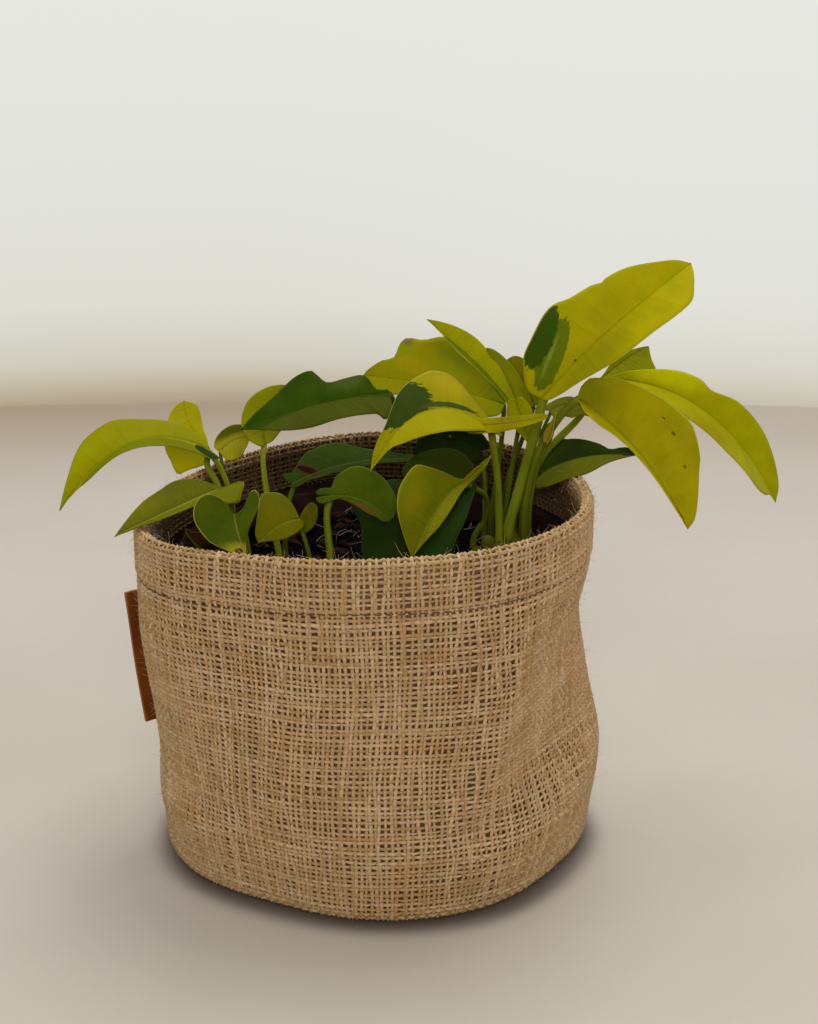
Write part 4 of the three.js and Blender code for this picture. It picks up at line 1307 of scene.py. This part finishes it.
def makeLeafPatch():
    # an oval with a jagged edge on the flat map, which counts in centimetres
    inputs = {
        "Flat": "Vector", "Middle": "Vector", "Turn": "Float", "Size": "Vector", "Jagged": "Float",
        "Soft": "Float"}
    tree, entry, result = openGroup("leafPatch", inputs, {"Mask": "Float"})
    moved = addNode(tree, "VectorMath", {0: entry["Flat"], 1: entry["Middle"]}, operation="SUBTRACT")
    turned = addNode(
        tree, "VectorRotate", {"Vector": moved.outputs[0], "Angle": entry["Turn"]},
        rotation_type="Z_AXIS")
    scaled = addNode(
        tree, "VectorMath", {0: turned.outputs[0], 1: entry["Size"]}, operation="DIVIDE")
    away = addNode(tree, "VectorMath", {0: scaled.outputs[0]}, operation="LENGTH").outputs["Value"]
    streaked = addNode(
        tree, "VectorMath", {0: turned.outputs[0], 1: (9.0, 3.5, 1.0)}, operation="MULTIPLY")
    ragged = addMath(tree, "SUBTRACT", addNoise(tree, streaked.outputs[0], 1.0, 4.0), 0.5)
    edge = addMath(tree, "MULTIPLY_ADD", ragged, entry["Jagged"], away)
    inner = addMath(tree, "SUBTRACT", 1.0, entry["Soft"])
    mask = addMath(tree, "SUBTRACT", 1.0, addStep(tree, edge, inner, 1.03))
    plug(tree, result, {"Mask": mask})
    return tree


leafSkin = makeLeafSkin()
leafPatch = makeLeafPatch()


def leafMaterial(name, tones, patches):
    material, tree, shader = newMaterial("leaf_" + name)
    main, cloud, rib, margin = (paint(tone) for tone in tones)
    flat = uvPlace(tree, "flatMap")
    skin = useGroup(tree, leafSkin, {
        "Rows": uvPlace(tree, "rowsMap"), "Flat": flat, "Count": blade["veins"]})
    clouds = addMottle(tree, 0.7, 0.5, 0.16, flat)
    specks = addMottle(tree, 6.0, 0.76, 0.03, flat)
    body = addMix(tree, clouds["Mask"], main, cloud)
    for across, along, wide, long, turn, tone, jagged, *soft in patches:
        patch = useGroup(tree, leafPatch, {
            "Flat": flat, "Middle": (across / 10, along / 10, 0), "Turn": math.radians(-turn),
            "Size": (wide / 10, long / 10, 1), "Jagged": jagged, "Soft": soft[0] if soft else 0.05})
        body = addMix(tree, patch["Mask"], body, paint(tone))
    darker = addMix(tree, 1.0, body, (0.82, 0.82, 0.7, 1), "MULTIPLY")
    body = addTone(tree, body, darker, skin["Veins"], 0.25)
    body = addTone(tree, body, darker, skin["Speckle"], 0.65)
    body = addTone(tree, body, rib, skin["Midrib"], 0.55)
    body = addTone(tree, body, paint(blade["speck"]), specks["Mask"], 0.35)
    # painted light: a pale line along the margin, where light shows through the thin edge
    body = addTone(tree, body, margin, skin["Margin"], 0.7)
    plug(tree, shader, {
        "Base Color": body, "Specular IOR Level": 0.02,
        "Roughness": addMath(tree, "MULTIPLY_ADD", skin["Speckle"], 0.12, 0.4),
        "Normal": addBump(tree, skin["Height"], 0.00035)})
    return material


def midribSpot(piece, share):
    base, middle, tip = (Vector(piece[key]) for key in ("base", "middle", "tip"))
    bend = 2 * middle - 0.5 * base - 0.5 * tip
    along = max(share, 0)
    spot = (1 - along) ** 2 * base + 2 * along * (1 - along) * bend + along ** 2 * tip
    heading = 2 * (1 - along) * (bend - base) + 2 * along * (tip - bend)
    if share < 0:
        spot += heading * share
    return spot, heading.normalized(), tip - base


def smoothOpen(values, place):
    # a smooth value through evenly spaced ones in a row
    ends = [2 * values[0] - values[1], *values, 2 * values[-1] - values[-2]]
    k = max(0, min(int(place), len(values) - 2))
    return throughFour(*ends[k:k + 4], place - k)


def marginKnots(piece, side):
    # points of a half's margin as (share of the midrib, reach), from the stalk to the tip,
    # and how far along the margin each is
    points = piece[side]
    if not isinstance(points[0], tuple):
        stalk, quarter, half, threeQuarter = points
        lobe = piece["lobes"][0 if side == "left" else 1]
        points = [
            (-0.85 * lobe, 0.3 * stalk), (-lobe, 0.62 * stalk), (-0.35 * lobe, 0.95 * stalk),
            (0.25, quarter), (0.5, half), (0.75, threeQuarter),
            (0.93, piece["blunt"] * threeQuarter)]
    shares, reaches = np.array([(0, 0), *points, (1, 0)], float).T
    length = (Vector(piece["tip"]) - Vector(piece["base"])).length
    steps = np.hypot(np.diff(shares) * length, np.diff(reaches))
    run = np.concatenate([[0], np.cumsum(steps)]) / steps.sum()
    return shares.tolist(), reaches.tolist(), run


def marginSpot(knots, place):
    shares, reaches, run = knots
    knot = float(np.interp(place, run, np.arange(len(run))))
    return smoothOpen(shares, knot), smoothOpen(reaches, knot)


def bladeSpot(piece, share, reach, hand):
    spot, heading, chord = midribSpot(piece, share)
    side = Vector((-chord.y, chord.x, 0))
    side = (side - heading * side.dot(heading)).normalized()
    up = heading.cross(side)
    roll, fold = math.radians(piece["roll"]), math.radians(piece["fold"])
    across = side * math.cos(roll) + up * math.sin(roll)
    normal = up * math.cos(roll) - side * math.sin(roll)
    droop = blade["edgeDroop"] * reach * reach / piece["widest"]
    spot += across * hand * reach * math.cos(fold) + normal * (reach * math.sin(fold) - droop)
    return spot, normal


def makeBlade(piece, looks, patches, *nodes):
    *tones, (depth, waves) = looks
    length = (Vector(piece["tip"]) - Vector(piece["base"])).length
    rows = max(blade["fewestRows"], int(length / blade["cell"]))
    columns = blade["columns"]
    knots = {1: marginKnots(piece, "left"), -1: marginKnots(piece, "right")}
    bpy.ops.mesh.primitive_grid_add(x_subdivisions=2 * columns, y_subdivisions=rows, size=2)
    leaf = bpy.context.object
    leaf.name = "blade_" + piece["name"]
    flat, even = [], []
    for vertex in leaf.data.vertices:
        right, place = vertex.co.x, (vertex.co.y + 1) / 2
        hand, out = (-1, right) if right > 0 else (1, -right)
        edgeShare, edgeReach = marginSpot(knots[hand], place)
        share, reach = place + (edgeShare - place) * out, edgeReach * out
        spot, normal = bladeSpot(piece, share, reach, hand)
        lift = depth * out ** 2.5 * math.sin(math.pi * place) * math.sin(
            2 * math.pi * waves * place + 1.3 * hand)
        lift += blade["quilt"] * math.cos(blade["veins"] * place) * out * (1 - out) * 4
        lift -= blade["groove"] * math.exp(-(out / blade["grooveWide"]) ** 2) * (1 - place)
        vertex.co = (spot + normal * lift) * mm
        flat.append((hand * reach / 10, share * length / 10))
        even.append(((1 - right) / 2, place))
    for mapName, places in (("flatMap", flat), ("rowsMap", even)):
        leafMap = leaf.data.uv_layers.new(name=mapName)
        for loop in leaf.data.loops:
            leafMap.data[loop.index].uv = places[loop.vertex_index]
    leaf.data.uv_layers.remove(leaf.data.uv_layers["UVMap"])
    editAll(leaf)
    bpy.ops.mesh.remove_doubles(threshold=seamGap)
    bpy.ops.object.mode_set(mode="OBJECT")
    skin = leaf.modifiers.new("skin", "SOLIDIFY")
    skin.thickness, skin.offset = blade["thick"] * mm, 0
    bpy.ops.object.modifier_apply(modifier="skin")
    leaf.data.shade_smooth()
    leaf.select_set(False)
    material = leafMaterial(piece["name"], tones, patches)
    keepPiece(leaf, material, bladeSlot(piece["name"]), *nodes)


oliveBlades = ("wavy_back", "olive_back", "round_left", "right_rear", "rear_lobe")


def bladeSlot(name):
    if name == "withered":
        return "withered_leaf"
    if name.startswith(("dark", "torn")):
        return "dark_leaf"
    return "olive_leaf" if name in oliveBlades else "lime_leaf"


# Stalks: each rises from the soil and runs on under its blade as the raised midrib

stalks = {
    "steps": 26, "under": 12, "reach": 0.86, "foot": 1.35, "footShare": 0.16, "neck": 0.8,
    "sunk": 1.0, "thinnest": 0.16, "bury": 0.55, "waver": 0.05,
    "green": "6e7a0e", "light": "848c12", "pale": "989a38", "brown": "54481a",
    # deepGreen, deepLight and deepPale are the stalk colours darkened as painted shade for the stalks
    # further back; the crown takes deepGreen as well
    "deepGreen": "525c0a", "deepLight": "606a10", "deepPale": "707424", "behind": 0.75,
}

# These stalks stand in the light; the others take a darker copy of the stalk colours as
# painted shade, and are thinner by behind.
frontStalks = (
    "upper_right", "variegated", "right_drooping", "far_right", "far_left", "round_left",
    "round_centre", "back_left")


def stalkSection():
    # round with a shallow channel between two low ridges on the upper side
    turns = np.radians([90, 120, 150, 180, 215, 270, 325, 360, 390, 420])
    reach = np.array([0.72, 1.12, 1.02, 1.0, 1.0, 1.0, 1.0, 1.0, 1.02, 1.12])
    return np.stack([reach * np.cos(turns), reach * np.sin(turns)], 1)


def curveThrough(points, steps):
    # evenly counted points on a smooth curve through the given ones
    columns = list(zip(*points))
    places = np.linspace(0, len(points) - 1, steps)
    return np.array([[smoothOpen(column, place) for column in columns] for place in places])


def stalkPath(piece):
    # from just under the soil up to the blade, then along under its midrib
    radius = piece["stalkRadius"]
    x, y, _ = piece["stalk"][-1]
    foot = (x, y, soilTop(x, y) - stalks["sunk"])
    rise = [foot, *reversed(piece["stalk"])]
    under = []
    for run in np.linspace(0, stalks["reach"], stalks["under"]).tolist():
        spot, normal = bladeSpot(piece, run, 0, 1)
        size = radius * stalks["neck"] * (1 - run) + stalks["thinnest"]
        sink = blade["groove"] * (1 - run) + 0.5 * blade["thick"] + stalks["bury"] * size
        under.append((spot - normal * sink, size))
    rise.append(tuple(under[0][0]))
    stem = curveThrough(rise, stalks["steps"])
    path = np.concatenate([stem[:-1], np.array([tuple(spot) for spot, _ in under])])
    share = np.linspace(0, 1, stalks["steps"])[:-1]
    swell = np.exp(-(share / stalks["footShare"]) ** 2) * (stalks["foot"] - 1)
    stemSize = radius * (1 + swell - (1 - stalks["neck"]) * share)
    sizes = np.concatenate([stemSize, [size for _, size in under]])
    if piece["name"] not in frontStalks:
        sizes *= stalks["behind"]
    facing = np.zeros(path.shape)
    heading = unit(np.gradient(path, axis=0))
    turned = np.array(tuple(bladeSpot(piece, 1, 0, 1)[1]))
    for k in range(len(path) - 1, -1, -1):
        turned = turned - heading[k] * np.dot(turned, heading[k])
        turned /= np.linalg.norm(turned)
        facing[k] = turned
    return path, sizes, facing


def makeStalkMaterial(name, green, light, pale):
    material, tree, shader = newMaterial(name)
    lines = addFibre(tree, 5.0, 70.0)
    cloud = addMottle(tree, 70.0, 0.5, 0.2)
    specks = addMottle(tree, 500.0, 0.7, 0.05)
    body = addMix(tree, cloud["Mask"], paint(stalks[green]), paint(stalks[light]))
    body = addTone(tree, body, paint(stalks[pale]), lines["Streak"], 0.35)
    along = partsOf(tree, uvPlace(tree))["X"]
    rooted = addMath(tree, "SUBTRACT", 1.0, addStep(tree, along, 0.0, 0.2))
    body = addTone(tree, body, paint(stalks["brown"]), rooted, 0.7)
    body = addTone(tree, body, paint(stalks["brown"]), specks["Mask"], 0.4)
    plug(tree, shader, {
        "Base Color": body, "Specular IOR Level": 0.02,
        "Roughness": addMath(tree, "MULTIPLY_ADD", lines["Streak"], 0.15, 0.4),
        "Normal": addBump(tree, lines["Height"], 0.0002)})
    return material


# Crown: the swollen old leaf bases where the thick stalks come out of the soil, as
# (place, half width, depth and height, lean)
crownKnobs = [
    ((49.5, 11, 113), (5.2, 4.4, 3.4), 12), ((55, 15, 113.5), (3.2, 3, 3.4), -20),
    ((39, 7, 113), (2.6, 2.6, 3.2), 15), ((44, 12.5, 114.5), (3.0, 2.8, 4.2), -14),
    ((52, 20, 114), (4.6, 4, 4.4), 0),
]


def makeCrown():
    places = []
    for place, size, lean in crownKnobs:
        turn = Matrix.Rotation(math.radians(lean), 4, "Y")
        places.append(Matrix.Translation(place) @ turn @ Matrix.Diagonal((*size, 1)))
    crown = scatterCopies("crown", *lumpShape(3, 0.035), places)
    crown.data.shade_smooth()
    material, tree, shader = newMaterial("crownSkin")
    scars = addMottle(tree, 220.0, 0.5, 0.12)
    body = addMix(tree, scars["Mask"], paint(stalks["deepGreen"]), paint(stalks["brown"]))
    plug(tree, shader, {
        "Base Color": body, "Specular IOR Level": 0.02,
        "Roughness": addMath(tree, "MULTIPLY_ADD", scars["Mask"], 0.2, 0.5),
        "Normal": addBump(tree, scars["Height"], 0.0006)})
    keepPiece(crown, material, "petiole")


def makePlant():
    lit = makeStalkMaterial("stalkSkin", "green", "light", "pale")
    shaded = makeStalkMaterial("stalkShade", "deepGreen", "deepLight", "deepPale")
    section = stalkSection()
    for piece in plantPieces + lobePieces:
        reaches = (marginKnots(piece, side)[1] for side in ("left", "right"))
        piece["widest"] = max(max(half) for half in reaches)
    for piece in lobePieces:
        makeBlade(piece, leafLooks[piece["like"]], [])
    for piece in plantPieces:
        name = piece["name"]
        makeBlade(piece, leafLooks[name], leafPatches.get(name, []), "leaf_" + name)
        path, sizes, facing = stalkPath(piece)
        places = np.linspace(0, 1, len(sizes))
        sizes = sizes * (1 + wander(1, places, (2, 5), stalks["waver"])[0])
        stalk = sweepTubes("stalk_" + name, path[None], facing[None], sizes[None], section)
        slot = "withered_leaf" if name == "withered" else "petiole"
        keepPiece(stalk, lit if name in frontStalks else shaded, slot, "petiole_" + name)
    makeCrown()
    print("plant grown,", len(plantPieces), "leaves")


makePlant()


# Floor and backdrop. The sky's bands are heights of the view's direction with a colour.

stage = {
    "radius": 3000, "farEdge": 730, "farStart": 440, "segments": 256,
    # painted shadow along the far edge, darker than the rest of the floor, and less so on the right
    "farRight": (0, 300), "rightShare": -0.55,
    "floor": "cac2b6", "floorDark": "c1b8ab", "floorFarShadow": "a8967e",
    "contact": 16, "contactTint": (0.3, 0.27, 0.26, 1), "contactSteps": (0.42, 0.85),
    # the lowest, darkest bands paint a shadow line where the backdrop meets the floor
    "bands": [(-0.2315, "ae9e85"), (-0.221, "c2b7a0"), (-0.21, "cfcabb"), (-0.19, "d9d6cc"),
              (-0.177, "dddcd3"), (-0.11, "e2e3dc"), (-0.046, "e6e8df"), (0.2, "ecece6")],
    # glow paints light on the right of the backdrop
    "glow": "e8eae4", "glowSteps": (-0.12, 0.14), "glowShare": 0.35,
    "front": 0.14, "rear": 0.85, "ceiling": 0.72,
}

# each (place, size, power, colour)
lamps = {
    "key": ((60, -1350, 800), 700, 8.3, (1.0, 0.98, 0.94)),
    "top": ((220, 450, 1500), 900, 8.5, (1.0, 1.0, 0.98)),
}


def makeFloor():
    bpy.ops.mesh.primitive_circle_add(
        vertices=stage["segments"], radius=stage["radius"] * mm, fill_type="NGON")
    floor = bpy.context.object
    floor.name = "floor"
    floor.data.transform(Matrix.Translation((0, (stage["farEdge"] - stage["radius"]) * mm, 0)))
    material, tree, shader = newMaterial("paleFloor")
    cloud = addMottle(tree, 5.0, 0.5, 0.3)
    grain = addMottle(tree, 160.0, 0.5, 0.3)
    body = addMix(tree, cloud["Mask"], paint(stage["floor"]), paint(stage["floorDark"]))
    floorParts = partsOf(tree, objectPlace(tree))
    # painted shadow along the floor's far edge, weaker on the right
    far = addStep(tree, floorParts["Y"], stage["farStart"] * mm, stage["farEdge"] * mm)
    right = addStep(tree, floorParts["X"], *(x * mm for x in stage["farRight"]))
    paler = addMath(tree, "MULTIPLY_ADD", right, stage["rightShare"], 1.0)
    far = addMath(tree, "MULTIPLY", far, paler)
    body = addMix(tree, far, body, paint(stage["floorFarShadow"]))
    near = {"Distance": stage["contact"] * mm}  # the shade right under the sack
    clear = addNode(tree, "AmbientOcclusion", near, samples=8).outputs["AO"]
    under = addMix(tree, 1.0, body, stage["contactTint"], "MULTIPLY")
    body = addMix(tree, addStep(tree, clear, *stage["contactSteps"]), under, body)
    plug(tree, shader, {
        "Base Color": body, "Specular IOR Level": 0.2,
        "Roughness": addMath(tree, "MULTIPLY_ADD", grain["Mask"], 0.1, 0.6),
        "Normal": addBump(tree, grain["Height"], 0.00005)})
    floor.data.materials.append(material)
    floor.select_set(False)


def makeWorld():
    # what is seen is the banded backdrop, and what lights the object is a soft dome that is
    # brighter behind and above
    world = bpy.data.worlds.new("studio")
    world.use_nodes = True
    bpy.context.scene.world = world
    tree = world.node_tree
    parts = partsOf(tree, addNode(tree, "TexCoord", {}).outputs["Generated"])
    height = parts["Z"]
    # the lowest bands are a painted shadow line under the backdrop
    low, tone = stage["bands"][0]
    backdrop = paint(tone)
    for high, tone in stage["bands"][1:]:
        inputs = {"Value": height, "From Min": low, "From Max": high}
        share = addNode(tree, "MapRange", inputs).outputs["Result"]
        backdrop = addMix(tree, share, backdrop, paint(tone))
        low = high
    # painted light, paler towards the right of the backdrop
    side = addStep(tree, parts["X"], *stage["glowSteps"])
    backdrop = addTone(tree, backdrop, paint(stage["glow"]), side, stage["glowShare"])
    front, rear, ceiling = ((stage[key],) * 3 + (1,) for key in ("front", "rear", "ceiling"))
    dome = addMix(tree, addStep(tree, parts["Y"], -0.8, 0.8), front, rear)
    dome = addMix(tree, addStep(tree, height, 0.3, 1.0), dome, ceiling)
    seen = addNode(tree, "LightPath", {}).outputs["Is Camera Ray"]
    plug(tree, tree.nodes["Background"], {"Color": addMix(tree, seen, dome, backdrop)})


def addLamp(name, place, size, power, tint):
    bpy.ops.object.light_add(type="AREA", location=Vector(place) * mm)
    lamp = bpy.context.object
    lamp.name = name
    lamp.rotation_euler = (Vector((0, 0, 110)) - Vector(place)).to_track_quat("-Z", "Y").to_euler()
    lamp.data.shape = "DISK"
    lamp.data.size = size * mm
    lamp.data.energy = power
    lamp.data.color = tint
    lamp.select_set(False)


makeFloor()
makeWorld()
for name, settings in lamps.items():
    addLamp(name, *settings)
bpy.context.scene.view_settings.view_transform = "Standard"
bpy.context.scene.view_settings.look = "None"
print("stage lit")
